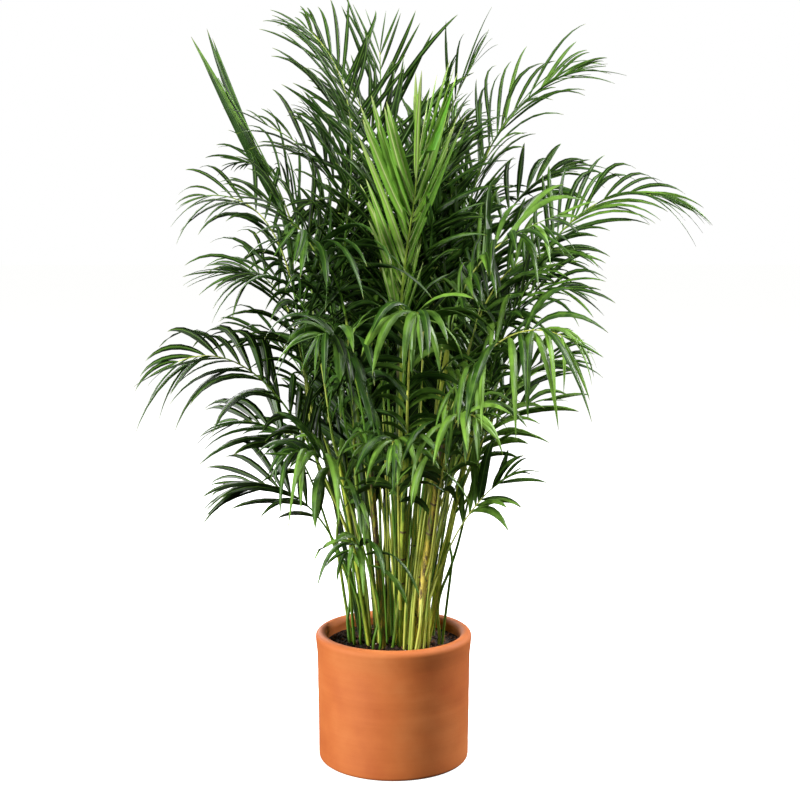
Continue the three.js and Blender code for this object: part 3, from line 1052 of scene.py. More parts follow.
@dataclass
class Leaflet:
    """One leaflet's main lines, in the part's frame."""

    share: float
    hand: Hand
    root: Vector
    middle: Vector
    tip: Vector
    across: Vector
    width: float

    @staticmethod
    def between(first: Leaflet, second: Leaflet, line: Line, share: float) -> Leaflet:
        """A leaflet that grows between two others of the same hand.

        Args:
            first: The lower one.
            second: The upper one.
            line: The midrib's line.
            share: How far it is from the first to the second.

        Returns:
            The new leaflet.
        """
        place = blend(first.share, second.share, share)
        root = line.at(place)
        across = first.across.lerp(second.across, share).normalized()
        middle = root + (first.middle - first.root).lerp(second.middle - second.root, share)
        tip = root + (first.tip - first.root).lerp(second.tip - second.root, share)
        return Leaflet(place, first.hand, root, middle, tip, across, blend(first.width, second.width, share))

    def below(self, line: Line, gap: float, size: float) -> Leaflet:
        """A smaller and steeper leaflet of the same kind lower on the midrib.

        Args:
            line: The midrib's line.
            gap: How much lower it grows, as a share of the line.
            size: Its size as a share of this one's.

        Returns:
            The new leaflet.
        """
        place = max(self.share - gap, 0.0)
        root = line.at(place)
        ahead = line.heading(place)
        middle, tip = (root + arm.normalized().lerp(ahead, 1 - size).normalized() * arm.length * size
                       for arm in (self.middle - self.root, self.tip - self.root))
        return Leaflet(place, self.hand, root, middle, tip, self.across, self.width * size)


@dataclass
class Midrib:
    """A frond's midrib, whose line lies in an upright plane, and how the frond is rolled on it."""

    line: Line
    side: Vector
    radius: float
    roll: float = 0.0
    cap_reach: float = 0.0095
    ring_reach: float = 0.0022
    stray: float = 0.006

    @staticmethod
    def fit(points: list[Vector]) -> Midrib:
        """Fits an arch with four steering points to points on a midrib's surface.

        Args:
            points: The points, a few of which may belong to crossed leaflets.

        Returns:
            The midrib.
        """
        places = np.array([list(point) for point in points])
        low = places[places[:, 2].argmin()]
        cap = places[np.linalg.norm(places - low, axis=1) < Midrib.cap_reach]
        foot = cap.mean(0)
        gaps = np.linalg.norm(places[:, None] - places[None], axis=2)
        crowded = (gaps < Midrib.ring_reach).sum(1) >= 3
        away = np.where(crowded, np.linalg.norm(places - foot, axis=1), 0.0)
        tip = places[gaps[away.argmax()] < Midrib.ring_reach].mean(0)
        out = (tip - foot) * np.array([1.0, 1.0, 0.0])
        out /= np.linalg.norm(out)
        flat = np.column_stack([(places - foot) @ out, places[:, 2] - foot[2]])
        sideways = (places - foot) @ np.array([out[1], -out[0], 0.0])
        end = np.array([(tip - foot) @ out, tip[2] - foot[2]])
        reach = np.linalg.norm(end)
        first = np.array([0.05, 0.42]) * reach
        steer = [first, end - 0.34 * reach * (end - first) / np.linalg.norm(end - first)]
        shares = np.linspace(0.0, 1.0, 240)
        for _ in range(30):
            off = np.linalg.norm(flat[:, None] - Midrib.arch(shares, *steer, end)[None], axis=2)
            weight = (1.0 / (1.0 + (np.hypot(off.min(1), sideways) / Midrib.stray) ** 2))[:, None]
            _, *inner, last = pulls(shares[off.argmin(1)], 3)
            rest = flat - np.outer(last, end)
            steer = np.linalg.lstsq(np.column_stack(inner) * weight, rest * weight, rcond=None)[0]
        curve = Midrib.arch(shares, *steer, end)
        line = foot + np.outer(curve[:, 0], out) + np.outer(curve[:, 1], [0.0, 0.0, 1.0])
        radius = float(np.linalg.norm(cap - foot, axis=1).max())
        return Midrib(Line(line), Vector(out).cross(UP), radius)

    @staticmethod
    def arch(shares: np.ndarray, *control: np.ndarray) -> np.ndarray:
        """Points on an arch that starts at the origin and is steered by three points."""
        return sum(np.outer(weight, point) for weight, point in zip(pulls(shares, 3)[1:], control))

    def across(self, share: float) -> Vector:
        """The direction across the frond at a share of the midrib's length."""
        return turned(self.side, self.line.heading(share), self.roll)

    def raised(self, share: float) -> Vector:
        """The direction out of the frond's upper face."""
        return self.across(share).cross(self.line.heading(share))


@dataclass
class Bend:
    """How one leaflet is bent: the points that steer its line, and where its face turns."""

    control: list[Vector]
    across: Vector
    raised: Vector
    facing: Vector
    twist: float

    def frame(self, share: float) -> tuple[Vector, Vector, Vector]:
        """The leaflet's middle at a share of its length, and its directions there.

        Args:
            share: The share of its length.

        Returns:
            The point, the direction across the leaflet and the direction out of its face.
        """
        steps = [second - first for first, second in zip(self.control, self.control[1:])]
        rows = [zip(row, pulls(share, len(row) - 1)) for row in (self.control, steps)]
        point, heading = (sum((spot * weight for spot, weight in row), Vector()) for row in rows)
        heading.normalize()
        level = (self.across - heading * self.across.dot(heading)).normalized()
        face = heading.cross(level)
        if face.dot(self.raised) < 0:
            face.negate()
        pull = self.facing - heading * self.facing.dot(heading)
        face = (face * (1 - share * self.facing.length) + pull * share).normalized()
        face = turned(face, heading, self.twist * share)
        return point, face.cross(heading), face


@dataclass
class Frond:
    """A frond: its midrib and its leaflets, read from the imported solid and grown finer."""

    name: str
    midrib: Midrib
    leaflets: list[Leaflet]
    stage: Stage
    yellowness: float
    tone: float
    stations: tuple[float, ...] = (0.0, 0.04, 0.11, 0.21, 0.34, 0.49, 0.64, 0.79, 0.92, 1.0)
    pitch: float = 0.0185
    airy_pitch: float = 0.019
    airy_width: float = 0.43
    airy_right: Pair = (0.15, 0.25)
    airy_left: Pair = (0.1, 0.16)
    airy_high: Pair = (0.95, 0.2)
    dense_level: float = 0.8
    front: Pair = (0.08, 0.12)
    tall: Pair = (0.5, 0.2)
    young_width: float = 0.62
    size_range: Pair = (0.8, 1.12)
    width_range: Pair = (0.78, 1.2)
    fold_range: Pair = (0.12, 0.42)
    tight_fold: float = 1.8
    tone_swing: float = 0.3
    looseness: Pair = (0.14, 0.24)
    least_ease: Pair = (-0.15, -0.9)
    most_ease: Pair = (0.65, 0.0)
    sway: float = 0.09
    lift: float = 0.07
    droop: float = 0.2
    arch_over: float = 2.6
    arch_fall: float = 0.75
    spear_pleats: int = 2
    spear_pitch: float = 0.0125
    spear_point: float = 0.09
    spear_fork: float = 0.05
    spear_stagger: float = 0.014
    lower_leaflets: int = 8
    thickness: float = 0.0005
    stalk_sides: int = 8
    stalk_rings: int = 44
    stalk_width: float = 0.72
    tip_radius: float = 0.0009
    sheath: float = 0.09
    foot_level: float = 0.204
    foot_steps: int = 14
    rooted_share: float = 0.72

    @staticmethod
    def read(name: str, node: Piece, stage: Stage, yellowness: float, tone: float) -> Frond:
        """Reads a packed frond: a leaflet is a vertex far out on three others, and the rest is the midrib.

        Args:
            name: The node's name.
            node: The node.
            stage: How far the frond has opened.
            yellowness: How yellow its stalk is, from 0 to 1.
            tone: How bright its leaflets are, from 0 to 1.

        Returns:
            The frond.
        """
        mesh = packed(node)
        spears = []
        taken = set()
        for vertex in mesh.verts:
            ring = [edge.other_vert(vertex) for edge in vertex.link_edges]
            if len(ring) != 3:
                continue
            widest = max((first.co - second.co).length for first in ring for second in ring)
            if (vertex.co - mean([other.co for other in ring])).length > 1.5 * widest:
                spears.append((vertex, ring))
                taken |= {vertex, *ring}
        midrib = Midrib.fit([vertex.co.copy() for vertex in mesh.verts if vertex not in taken])
        leaflets = []
        for tip, ring in spears:
            ends = [edge.other_vert(other) for other in ring for edge in other.link_edges]
            feet = [end.co for end in ends if end not in taken]
            if feet:
                leaflets.append(Frond.read_leaflet(midrib, tip.co, [other.co for other in ring], mean(feet)))
        mesh.free()
        Frond.find_roll(midrib, leaflets)
        leaflets.sort(key=lambda leaflet: leaflet.share)
        return Frond(name, midrib, leaflets, stage, yellowness, tone)

    @staticmethod
    def read_leaflet(midrib: Midrib, tip: Vector, ring: list[Vector], foot: Vector) -> Leaflet:
        """Reads one packed leaflet.

        Args:
            midrib: The midrib that it grows on.
            tip: Its tip.
            ring: The three points round its widest place: two edges and a ridge.
            foot: About where it leaves the midrib.

        Returns:
            The leaflet, which doesn't know its hand yet.
        """
        pairs = [(ring[0], ring[1]), (ring[1], ring[2]), (ring[2], ring[0])]
        left, right = max(pairs, key=lambda pair: (pair[0] - pair[1]).length)
        share = midrib.line.nearest(foot)
        across = (left - right).normalized()
        if across.dot(midrib.line.heading(share)) < 0:
            across.negate()
        root = midrib.line.at(share)
        return Leaflet(share, Hand.RIGHT, root, (left + right) / 2, tip.copy(), across, (left - right).length)

    @staticmethod
    def find_roll(midrib: Midrib, leaflets: list[Leaflet]) -> None:
        """Finds how far the frond is rolled on its midrib, and with it each leaflet's hand.

        Args:
            midrib: The midrib, which is given its roll.
            leaflets: The leaflets, which are given their hands.
        """
        flat = []
        for leaflet in leaflets:
            away = leaflet.middle - leaflet.root
            raised = midrib.side.cross(midrib.line.heading(leaflet.share))
            flat.append(np.array([away.dot(midrib.side), away.dot(raised)]))
        axis = np.linalg.eigh(sum(np.outer(away, away) for away in flat))[1][:, -1]
        axis *= math.copysign(1.0, axis[0])
        midrib.roll = -math.atan2(axis[1], axis[0])
        for leaflet, away in zip(leaflets, flat):
            leaflet.hand = Hand.RIGHT if away @ axis > 0 else Hand.LEFT

    @cached_property
    def airiness(self) -> float:
        """How airy the frond is, from 0 to 1: the outer and the highest ones have slim leaflets far apart."""
        if self.stage is not Stage.OPEN:
            return 1.0
        tip = self.midrib.line.at(1.0)
        aside = rise(tip.x, *self.airy_right) if tip.x > 0 else rise(-tip.x, *self.airy_left)
        airiness = max(aside, rise(tip.z, *self.airy_high))
        return airiness * (0.5 if tip.x < 0 and tip.z < self.dense_level else 1.0)

    @cached_property
    def frontness(self) -> float:
        """How far the frond comes forward, from 0 to 1: the leaflets of the front ones hang down."""
        return rise(-self.midrib.line.at(1.0).y, *self.front)

    @cached_property
    def slack(self) -> float:
        """How loose and uneven its leaflets are, from 0 to 1."""
        return 1 - {Stage.CLOSED: 1.0, Stage.YOUNG: 0.6, Stage.OPEN: 0.35 * self.airiness}[self.stage]

    @cached_property
    def broadness(self) -> float:
        """How broad its leaflets are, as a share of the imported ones' width."""
        airy = blend(1.0, self.airy_width, self.airiness)
        return {Stage.CLOSED: 1.0, Stage.YOUNG: self.young_width, Stage.OPEN: airy}[self.stage]

    def full_row(self) -> list[Leaflet]:
        """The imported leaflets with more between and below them, and a last pair at the tip.

        Returns:
            The leaflets.
        """
        if self.stage is Stage.CLOSED:
            return self.spear_row()
        row = []
        line = self.midrib.line
        pitch = blend(self.pitch, self.airy_pitch, 0.0 if self.stage is Stage.YOUNG else self.airiness)
        lower = round(self.lower_leaflets * rise(line.at(0.5).z, *self.tall))
        for hand in Hand:
            side = [leaflet for leaflet in self.leaflets if leaflet.hand is hand]
            for first, second in zip(side, side[1:]):
                count = max(1, round((second.share - first.share) * line.length / pitch))
                row.append(first)
                row += [Leaflet.between(first, second, line, step / count) for step in range(1, count)]
            if side:
                row += [side[-1], self.last_leaflet(side[-1])]
                row += [side[0].below(line, step * pitch / line.length, 1 - 0.06 * step)
                        for step in range(1, lower + 1)]
        return row

    def spear_row(self) -> list[Leaflet]:
        """The closed frond's leaflets: long pleats side by side, which run into one point for each hand.

        Returns:
            The leaflets.
        """
        row = []
        line = self.midrib.line
        low = self.leaflets[0].share
        ahead = line.heading(1.0)
        end = line.at(1.0) + ahead * self.spear_point
        for hand in Hand:
            aside = self.midrib.across(1.0) * hand.value
            fork = aside * (self.spear_fork if hand is Hand.RIGHT else 0.0)
            for order in range(self.spear_pleats):
                share = blend(low, 1.0, 0.7 * order / self.spear_pleats)
                outer = self.spear_pleats - order - 0.5
                middle = line.at((share + 1) / 2) + aside * outer * self.spear_pitch - fork * 0.6
                tip = end + fork - ahead * self.spear_stagger * outer
                row.append(Leaflet(share, hand, line.at(share), middle, tip, self.midrib.across(share),
                                   1.6 * self.spear_pitch))
        return row

    def last_leaflet(self, below: Leaflet) -> Leaflet:
        """The small leaflet at the very end of the midrib.

        Args:
            below: The last packed leaflet, which it points ahead of.

        Returns:
            The leaflet.
        """
        root = self.midrib.line.at(1.0)
        spear = below.tip - below.root
        reach = spear.length * 0.72
        direction = (spear.normalized() + self.midrib.line.heading(1.0) * 0.9).normalized()
        return Leaflet(1.0, below.hand, root, root + direction * reach * 0.4, root + direction * reach,
                       below.across, below.width * 0.7)

    def blades(self) -> Mesh:
        """All the leaflets: one grid, cut into strips that are folded, tapered and bent.

        Returns:
            The bmesh, one sheet thick.
        """
        row = self.full_row()
        rungs = len(self.stations) - 1
        columns = 3 * len(row) - 1
        mesh = layered_mesh()
        bmesh.ops.create_grid(mesh, x_segments=columns, y_segments=rungs, size=0.5)
        places = {vertex: (round((vertex.co.x + 0.5) * columns), round((vertex.co.y + 0.5) * rungs))
                  for vertex in mesh.verts}
        between = [face for face in mesh.faces if len({places[vertex][0] // 3 for vertex in face.verts}) > 1]
        bmesh.ops.delete(mesh, geom=between, context="FACES")
        strips = [[] for _ in row]
        for vertex in mesh.verts:
            column, rung = places[vertex]
            strips[column // 3].append((vertex, column % 3 - 1, rung))
        tones = attribute(mesh, Layer.TONE)
        dice = dice_for(self.name, "blades")
        loose = 0.35 * self.pitch / self.midrib.line.length
        spots = {}
        for leaflet, strip in zip(row, strips):
            shift = self.midrib.line.at(leaflet.share + dice.uniform(-loose, loose)) - leaflet.root
            for spot in (leaflet.root, leaflet.middle, leaflet.tip):
                spot += shift
            self.shape_blade(leaflet, strip, spots, tones, dice)
        lay_map(mesh, spots)
        for face in mesh.faces:
            face.smooth = True
        for edge in mesh.edges:
            edge.smooth = any(abs(spots[end][0]) > 1e-6 for end in edge.verts)
        return mesh

    def shape_blade(self, leaflet: Leaflet, strip: list[tuple[Vertex, int, int]], spots: dict[Vertex, Pair],
                    tones: bmesh.types.BMLayerItem, dice: random.Random) -> None:
        """Bends one strip of the grid into a leaflet.

        Args:
            leaflet: The leaflet's main lines.
            strip: The strip's vertices, with their column from -1 to 1 and their rung.
            spots: Is given each vertex's distance from the leaflet's middle line and its share of the length.
            tones: The layer that holds the leaflet's tone.
            dice: The frond's random numbers.
        """
        slack = self.slack
        ahead = self.midrib.line.heading(1.0)
        raised = self.midrib.raised(leaflet.share)
        spear = leaflet.tip - leaflet.root
        loose = blend(*self.looseness, self.frontness) * slack
        turn = Quaternion(spear.cross(leaflet.across), dice.gauss(0.0, loose))
        turn = turn @ Quaternion(leaflet.across, dice.gauss(0.0, loose))
        size = 1.0 if self.stage is Stage.CLOSED else dice.uniform(*self.size_range)
        reach = leaflet.middle - leaflet.root
        straight = reach.normalized() * spear.length
        least, most = (blend(*ends, self.frontness) for ends in (self.least_ease, self.most_ease))
        ease = dice.uniform(least, most) * slack
        spear = turn @ spear.lerp(straight, ease).normalized() * spear.length * size
        reach = turn @ reach * size
        across = turn @ leaflet.across
        length = spear.length
        direction = spear.normalized()
        level = math.hypot(direction.x, direction.y)
        normal = across.cross(direction).normalized()
        if normal.dot(raised) < 0:
            normal.negate()
        sway = across * length * dice.uniform(-self.sway, self.sway) * slack
        arch = length * dice.uniform(0.0, self.lift) * slack
        droop = length * dice.uniform(0.0, self.droop) * slack
        sag = droop * level
        over = 0.0 if self.stage is Stage.YOUNG else droop * self.arch_over * max(direction.z, 0.0)
        lift = normal * arch * 0.5 + UP * arch * level
        control = [
            leaflet.root,
            leaflet.root + reach * 0.85 + lift * 0.8,
            leaflet.root + reach.lerp(spear, 0.6) + lift + sway,
            leaflet.root + spear * (1 - 0.3 * sag / length) + sway * 1.6 - UP * (sag + self.arch_fall * over)
            + ahead * over,
        ]
        twist = dice.uniform(-0.6, 0.6) * slack
        hanging = min(clamp(0.35 - 1.1 * direction.z), 0.9) * dice.uniform(0.5, 1.0) * slack
        facing = self.midrib.line.heading(leaflet.share) * hanging
        width = leaflet.width * self.broadness * dice.uniform(*self.width_range)
        fold = dice.uniform(*self.fold_range) * (1.0 if self.stage is Stage.OPEN else self.tight_fold)
        tone = clamp(self.tone + dice.uniform(-self.tone_swing, self.tone_swing))
        bend = Bend(control, across, raised, facing, twist)
        frames = [bend.frame(share) for share in self.stations]
        for vertex, column, rung in strip:
            share = self.stations[rung]
            spread = column * 0.5 * width * self.outline(share)
            point, across, face = frames[rung]
            spots[vertex] = (spread, share)
            vertex[tones] = tone
            vertex.co = point + across * spread - face * abs(spread) * fold * (1.6 - share)

    def outline(self, share: float) -> float:
        """How wide a leaflet is at a share of its length, as a share of its greatest width."""
        return max(abs(math.sin(math.pi * share ** 0.74)) ** 0.8, 0.16 * (1 - share) ** 3, 0.02)

    def foot(self, cane: Cane) -> list[Vector]:
        """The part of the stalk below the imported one: down the cane's side, or into its top.

        Args:
            cane: The cane that carries the frond.

        Returns:
            Points on its middle line, from its lower end.
        """
        dice = dice_for(self.name, "foot")
        start = self.midrib.line.at(0.0)
        heading = self.midrib.line.heading(0.0)
        axis = cane.line.closest(start)
        away = start - axis
        on_top = away.length < cane.radii[1]
        height = start.z - self.foot_level
        drop = self.sheath
        if not on_top:
            drop = height * (1.0 if dice.random() < self.rooted_share else dice.uniform(0.3, 0.7))
        swing = dice.uniform(-0.9, 0.9)
        stand = 0.0 if on_top else dice.uniform(0.5, 1.9) if drop == height else -0.7
        points = []
        for step in range(self.foot_steps, 0, -1):
            share = step / self.foot_steps
            level = start.z - share * drop
            middle = cane.line.closest(Vector((axis.x, axis.y, level)))
            middle.z = level
            point = middle + turned(away, UP, swing * share) * (1 + stand * share)
            straight = start - heading * share * drop
            points.append(straight.lerp(point, clamp(share * drop / self.sheath)))
        return points

    def stalk(self, mesh: Mesh, cane: Cane) -> None:
        """Adds the midrib and its bare stalk, which starts in the soil or in the sheath on its cane.

        Args:
            mesh: The bmesh.
            cane: The cane that carries the frond.
        """
        whole = self.midrib.line
        start = whole.at(0.0)
        line = Line(np.array([list(point) for point in [*self.foot(cane), *whole.spots]]), steps=360)
        below = line.length - whole.length

        def surface(turn: float, share: float) -> tuple[Vector, float, float]:
            """A point of the stalk's grooved surface.

            Args:
                turn: Its angle round the stalk.
                share: The share of the whole stalk's length.

            Returns:
                The point, its tone and its age.
            """
            along = clamp((share * line.length - below) / whole.length)
            size = blend(self.midrib.radius * self.stalk_width, self.tip_radius, along ** 0.8)
            heading = line.heading(share)
            side = self.midrib.across(along)
            side = (side - heading * side.dot(heading)).normalized()
            wide = math.cos(turn) * size
            high = math.sin(turn) * size * 0.85
            groove = 0.25 * size * max(0.0, math.sin(turn)) ** 6
            point = line.at(share) + side * wide + side.cross(heading) * (high - groove)
            return point, clamp(self.yellowness + 0.2 * math.sin(9 * share + start.x * 90)), 0.5

        rings = self.stalk_rings + round(below / 0.02)
        tube(mesh, self.stalk_sides, [step / rings for step in range(rings + 1)], surface, 1)

    def build(self, canes: list[Cane]) -> None:
        """Builds the frond as one piece: its leaflets, then its stalk.

        Args:
            canes: All the canes, the nearest of which carries the frond.
        """
        foot = self.midrib.line.at(0.0)
        cane = min(canes, key=lambda cane: (cane.line.closest(foot) - foot).length)
        cane.sheaths.append(min(cane.line.nearest(foot) + 0.03, 0.995))
        mesh = self.blades()
        under = attribute(mesh, Layer.UNDER)
        upper = set(mesh.verts)
        bmesh.ops.solidify(mesh, geom=mesh.faces[:], thickness=self.thickness)
        rounded(mesh)
        for vertex in set(mesh.verts) - upper:
            vertex[under] = 1.0
        self.stalk(mesh, cane)
        young = self.stage is Stage.YOUNG
        finishes, slot = ((YOUNG_LEAF, YOUNG_STALK), "young_leaf") if young else ((LEAF, STALK), "leaf")
        settle(f"{self.name}_grown", mesh, finishes, slot, self.name)


@dataclass
class LooseStalks:
    """Thin stalks that stand in the soil among the canes and end inside the foliage."""

    name: str
    count: int
    centre: Pair
    spread: Pair
    height: Pair
    radius: Pair
    tone: Pair
    shift: Pair = (0.0, 0.0)
    level: float = 0.202
    lean: float = 2.6
    stray: float = 0.01
    sides: int = 8
    rings: int = 16

    def build(self) -> None:
        """Builds them all as one piece."""
        mesh = layered_mesh()
        dice = dice_for(self.name)
        for _ in range(self.count):
            turn = dice.uniform(0, FULL_TURN)
            out = level_spot(turn, math.sqrt(dice.random()), self.spread)
            foot = Vector((*self.centre, self.level)) + out
            height = dice.uniform(*self.height)
            stray = Vector((dice.gauss(0, self.stray), dice.gauss(0, self.stray), 0.0))
            top = foot + UP * height + out * self.lean * height + stray
            top.x += dice.uniform(*self.shift)
            bend = foot.lerp(top, 0.5) - out * 0.25 * self.lean * height
            bend.x -= 0.3 * (top.x - foot.x)
            line = Line.arched(foot, bend, top)
            self.stalk(mesh, line, dice.uniform(*self.radius), dice.uniform(*self.tone))
        settle(self.name, mesh, [STALK], "cane")

    def stalk(self, mesh: Mesh, line: Line, radius: float, tone: float) -> None:
        """Adds one stalk.

        Args:
            mesh: The bmesh.
            line: Its middle line.
            radius: Its radius at the foot.
            tone: How yellow it is, from 0 to 1.
        """
        def surface(turn: float, share: float) -> tuple[Vector, float, float]:
            """A point of the stalk's surface, its tone and its age."""
            return line.beside(turn, share, radius * blend(1.0, 0.5, share)), tone, tone

        tube(mesh, self.sides, [step / self.rings for step in range(self.rings + 1)], surface)


@dataclass
class InnerFronds:
    """Dark fronds inside the clump, which close the view through it."""

    count: int = 14
    centre: Pair = (0.015, 0.07)
    spread: Pair = (0.11, 0.04)
    foot: Pair = (0.42, 0.78)
    rise: Pair = (0.3, 0.38)
    lean: float = 0.7
    bulge: float = 0.015
    pitch: float = 0.032
    length: float = 0.18
    width: float = 0.018
    sag: float = 0.01
    angle: Pair = (0.55, 0.95)
    midrib_radius: float = 0.003
    yellowness: float = 0.2
    tone: float = 0.3

    def build(self) -> None:
        """Builds them all as one piece."""
        mesh = layered_mesh()
        dice = dice_for("inner fronds")
        for number in range(self.count):
            turn = FULL_TURN * number / self.count + dice.uniform(-0.3, 0.3)
            out = level_spot(turn, math.sqrt(dice.uniform(0.05, 1.0)), self.spread)
            foot = Vector((*self.centre, dice.uniform(*self.foot))) + out
            top = foot + UP * dice.uniform(*self.rise) + out * self.lean
            facing = turned(out.normalized(), UP, dice.uniform(-0.9, 0.9))
            frond = self.frond(f"inner_frond_{number}", foot, top, facing, dice.uniform(*self.angle))
            join(mesh, frond.blades())
        bmesh.ops.solidify(mesh, geom=mesh.faces[:], thickness=Frond.thickness)
        rounded(mesh)
        settle("inner_fronds", mesh, [LEAF], "leaf")

    def frond(self, name: str, foot: Vector, top: Vector, facing: Vector, angle: float) -> Frond:
        """Lays one frond out along an arch.

        Args:
            name: Its name, which its random numbers come from.
            foot: Where its lowest leaflets grow.
            top: Its tip.
            facing: The level direction that its upper face looks away from.
            angle: How far its leaflets stand off, in radians.

        Returns:
            The frond.
        """
        line = Line.arched(foot, foot.lerp(top, 0.5) - facing * self.bulge, top)
        midrib = Midrib(line, facing.cross(UP), self.midrib_radius)
        leaflets = []
        for step in range(1, int(line.length / self.pitch)):
            share = step * self.pitch / line.length
            root = line.at(share)
            for hand in Hand:
                ahead = line.heading(share) * math.cos(angle)
                ahead = ahead + midrib.across(share) * hand.value * math.sin(angle)
                reach = ahead * self.length * (1 - 0.5 * (2 * share - 1) ** 2)
                across = ahead.cross(midrib.raised(share)).normalized()
                tip = root + reach - UP * self.sag
                leaflets.append(Leaflet(share, hand, root, root + reach * 0.4, tip, across, self.width))
        return Frond(name, midrib, leaflets, Stage.OPEN, self.yellowness, self.tone)


@dataclass
class Palm:
    """The clump: its canes and its fronds."""

    nodes: dict[str, Piece]
    ripe: tuple[str, ...] = ("cane_01", "cane_03")
    ripest: tuple[str, ...] = ("cane_01", "cane_02", "cane_08", "cane_09")
    young: str = "frond_04"
    closed: str = "frond_03"
    yellow_stalks: tuple[str, ...] = ("frond_09", "frond_12", "frond_22", "frond_24", "frond_30")
    bright: tuple[str, ...] = ("frond_03", "frond_05", "frond_26")
    brightest: float = 0.7

    def cane(self, name: str) -> Cane:
        """Reads one cane."""
        age = 0.8 if name in self.ripest else dice_for(name, "age").uniform(0.1, 0.65)
        return Cane.read(name, self.nodes[name], name in self.ripe, age)

    def frond(self, name: str) -> Frond:
        """Reads one frond, with painted light and shade: those at the right and at the front are made
        brighter, those at the left and at the top darker.

        Args:
            name: Its node's name.

        Returns:
            The frond.
        """
        dice = dice_for(name, "finish")
        yellowness = dice.uniform(*((0.6, 0.95) if name in self.yellow_stalks else (0.0, 0.45)))
        tone = dice.uniform(*((0.35, 0.6) if name in self.bright else (0.1, 0.45)))
        stage = {self.young: Stage.YOUNG, self.closed: Stage.CLOSED}.get(name, Stage.OPEN)
        frond = Frond.read(name, self.nodes[name], stage, yellowness, tone)
        # Painted light and shade: fronds whose tips stand to the right and at the front are made brighter,
        # most of all the low ones at the right, and those to the left and at the top darker.
        if name not in self.bright:
            tip = frond.midrib.line.at(1.0)
            side = min(max(tip.x / 0.25, -1.0), 1.0)
            low = rise(-tip.z, -0.95, 0.3)
            frond.tone += side * (blend(0.1, 0.36, low) if side > 0 else blend(0.36, 0.2, low))
            frond.tone += 0.34 * frond.frontness - 0.18 * rise(tip.z, 1.1, 0.2)
            frond.tone = min(frond.tone, self.brightest)
        return frond

    def build(self) -> None:
        """Builds the fronds first, because they say where the canes' sheaths are."""
        canes = [self.cane(name) for name in sorted(self.nodes) if name.startswith("cane")]
        for name in sorted(self.nodes):
            if name.startswith("frond"):
                self.frond(name).build(canes)
        for cane in canes:
            cane.build()
        LooseStalks("inner_stalks", 34, (0.006, 0.006), (0.052, 0.05), (0.22, 0.46), (0.0016, 0.0034),
                    (0.0, 0.75)).build()
        LooseStalks("front_stalks", 14, (0.022, -0.052), (0.032, 0.014), (0.34, 0.56), (0.0018, 0.0032),
                    (0.15, 0.8), (-0.01, 0.14)).build()
        LooseStalks("right_stalks", 6, (0.052, -0.056), (0.024, 0.014), (0.46, 0.64), (0.0018, 0.0026),
                    (0.5, 1.0), (0.02, 0.16)).build()
        InnerFronds().build()


# ---- The studio


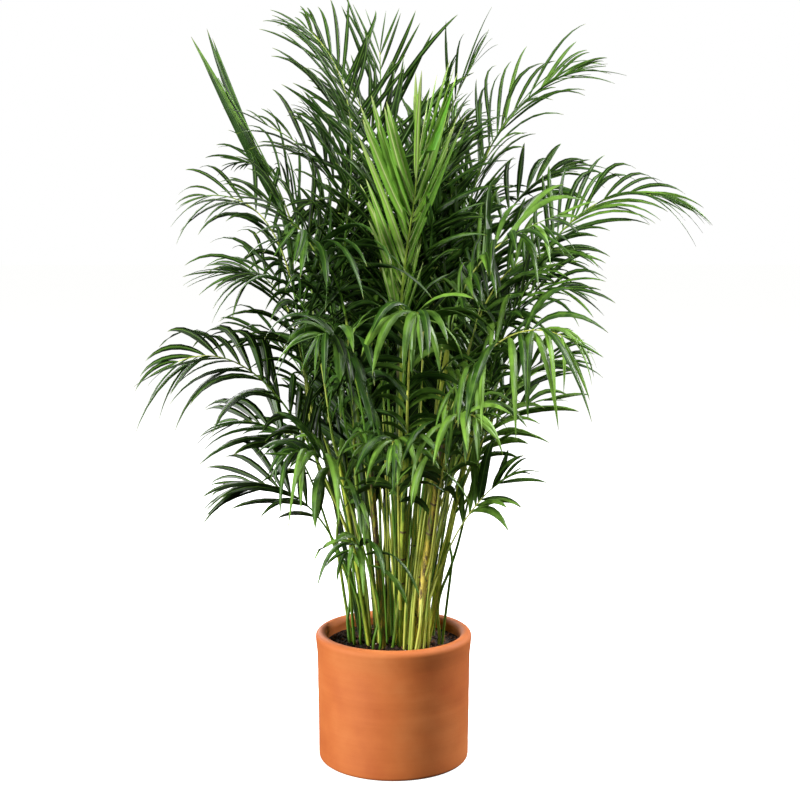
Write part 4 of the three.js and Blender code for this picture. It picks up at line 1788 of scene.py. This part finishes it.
@dataclass
class Studio:
    """A pale floor, a pale surround, soft lights and the camera."""

    eye: Triple = (0.0115, -2.500, 0.959)
    look_at: Triple = (0.0115, 0.0, 0.6476)
    lens: float = 64.35
    sensor: float = 36.0
    floor_side: float = 60.0
    floor_colour: Colour = paint(246, 246, 245)
    # The floor's glow next to the pot, lowered there as painted shade.
    floor_glow: float = 0.8
    surround: float = 0.08
    light_target: Triple = (0.0, 0.0, 0.65)

    def aimed(self, name: str, data: bpy.types.ID, place: Triple, target: Triple) -> Piece:
        """Adds a camera or a light that looks at a point.

        Args:
            name: Its name.
            data: The camera or light.
            place: Where it stands.
            target: What it looks at.

        Returns:
            The new object.
        """
        made = bpy.data.objects.new(name, data)
        made.location = place
        made.rotation_euler = (Vector(target) - Vector(place)).to_track_quat("-Z", "Y").to_euler()
        bpy.context.scene.collection.objects.link(made)
        return made

    def camera(self) -> None:
        """Makes the camera at the photograph's angle."""
        data = bpy.data.cameras.new("camera")
        data.sensor_width = self.sensor
        data.lens = self.lens
        data.clip_start = 0.05
        data.clip_end = 200.0
        bpy.context.scene.camera = self.aimed("camera", data, self.eye, self.look_at)

    def floor(self) -> None:
        """Makes the floor, which glows evenly far out and a little less near the pot: a painted shade round
        the pot's foot.
        """
        mesh = bmesh.new()
        bmesh.ops.create_grid(mesh, x_segments=2, y_segments=2, size=self.floor_side / 2)
        shade = Shade("studio_floor")
        away = shade.node("ShaderNodeVectorMath", "Value", {0: shade.where()}, operation="LENGTH")
        # Painted shade: the floor glows less within about 0.7 m of the pot, so it is darker round the pot's
        # foot.
        glow = shade.remap(away, 0.15, 0.7, self.floor_glow, 1.0)
        material = shade.finished(self.floor_colour, 0.9, Emission_Color=self.floor_colour,
                                  Emission_Strength=glow)
        made = new_piece("studio_floor", mesh, [material])
        made.visible_diffuse = False
        made.visible_glossy = False

    def softbox(self, name: str, place: Triple, size: float, power: float) -> None:
        """Makes a square area light that looks at the plant.

        Args:
            name: Its name.
            place: Where it stands.
            size: The length of its sides.
            power: Its power in watts.
        """
        data = bpy.data.lights.new(name, "AREA")
        data.size = size
        data.energy = power
        self.aimed(name, data, place, self.light_target)

    def light(self) -> None:
        """Makes the surround, white where it is seen and dim where it lights, and the lights."""
        world = bpy.data.worlds.new("surround")
        world.use_nodes = True
        nodes, links = world.node_tree.nodes, world.node_tree.links
        lit = nodes["Background"]
        lit.inputs["Strength"].default_value = self.surround
        seen = nodes.new("ShaderNodeBackground")
        for shader in (lit, seen):
            shader.inputs["Color"].default_value = (1.0, 1.0, 1.0, 1.0)
        path = nodes.new("ShaderNodeLightPath")
        mixed = nodes.new("ShaderNodeMixShader")
        for index, socket in enumerate((path.outputs["Is Camera Ray"], lit.outputs[0], seen.outputs[0])):
            links.new(socket, mixed.inputs[index])
        links.new(mixed.outputs[0], nodes["World Output"].inputs["Surface"])
        bpy.context.scene.world = world
        self.softbox("key_light", (-2.7, -1.7, 1.1), 0.8, 150.0)
        self.softbox("right_light", (2.4, 0.7, 2.1), 1.0, 120.0)
        self.softbox("top_light", (0.6, -1.2, 3.0), 1.0, 62.0)
        self.softbox("back_light", (-1.2, 2.7, 1.5), 1.6, 60.0)

    def build(self) -> None:
        """Sets the studio up."""
        self.camera()
        self.floor()
        self.light()
        bpy.context.scene.view_settings.view_transform = "Standard"


def main() -> None:
    """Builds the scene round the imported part."""
    logging.basicConfig(level=logging.INFO, format="%(name)s: %(message)s")
    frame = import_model()
    Studio().build()
    Pot().build()
    Soil().build()
    Palm(frame["nodes"]).build()


if __name__ == "__main__":
    main()
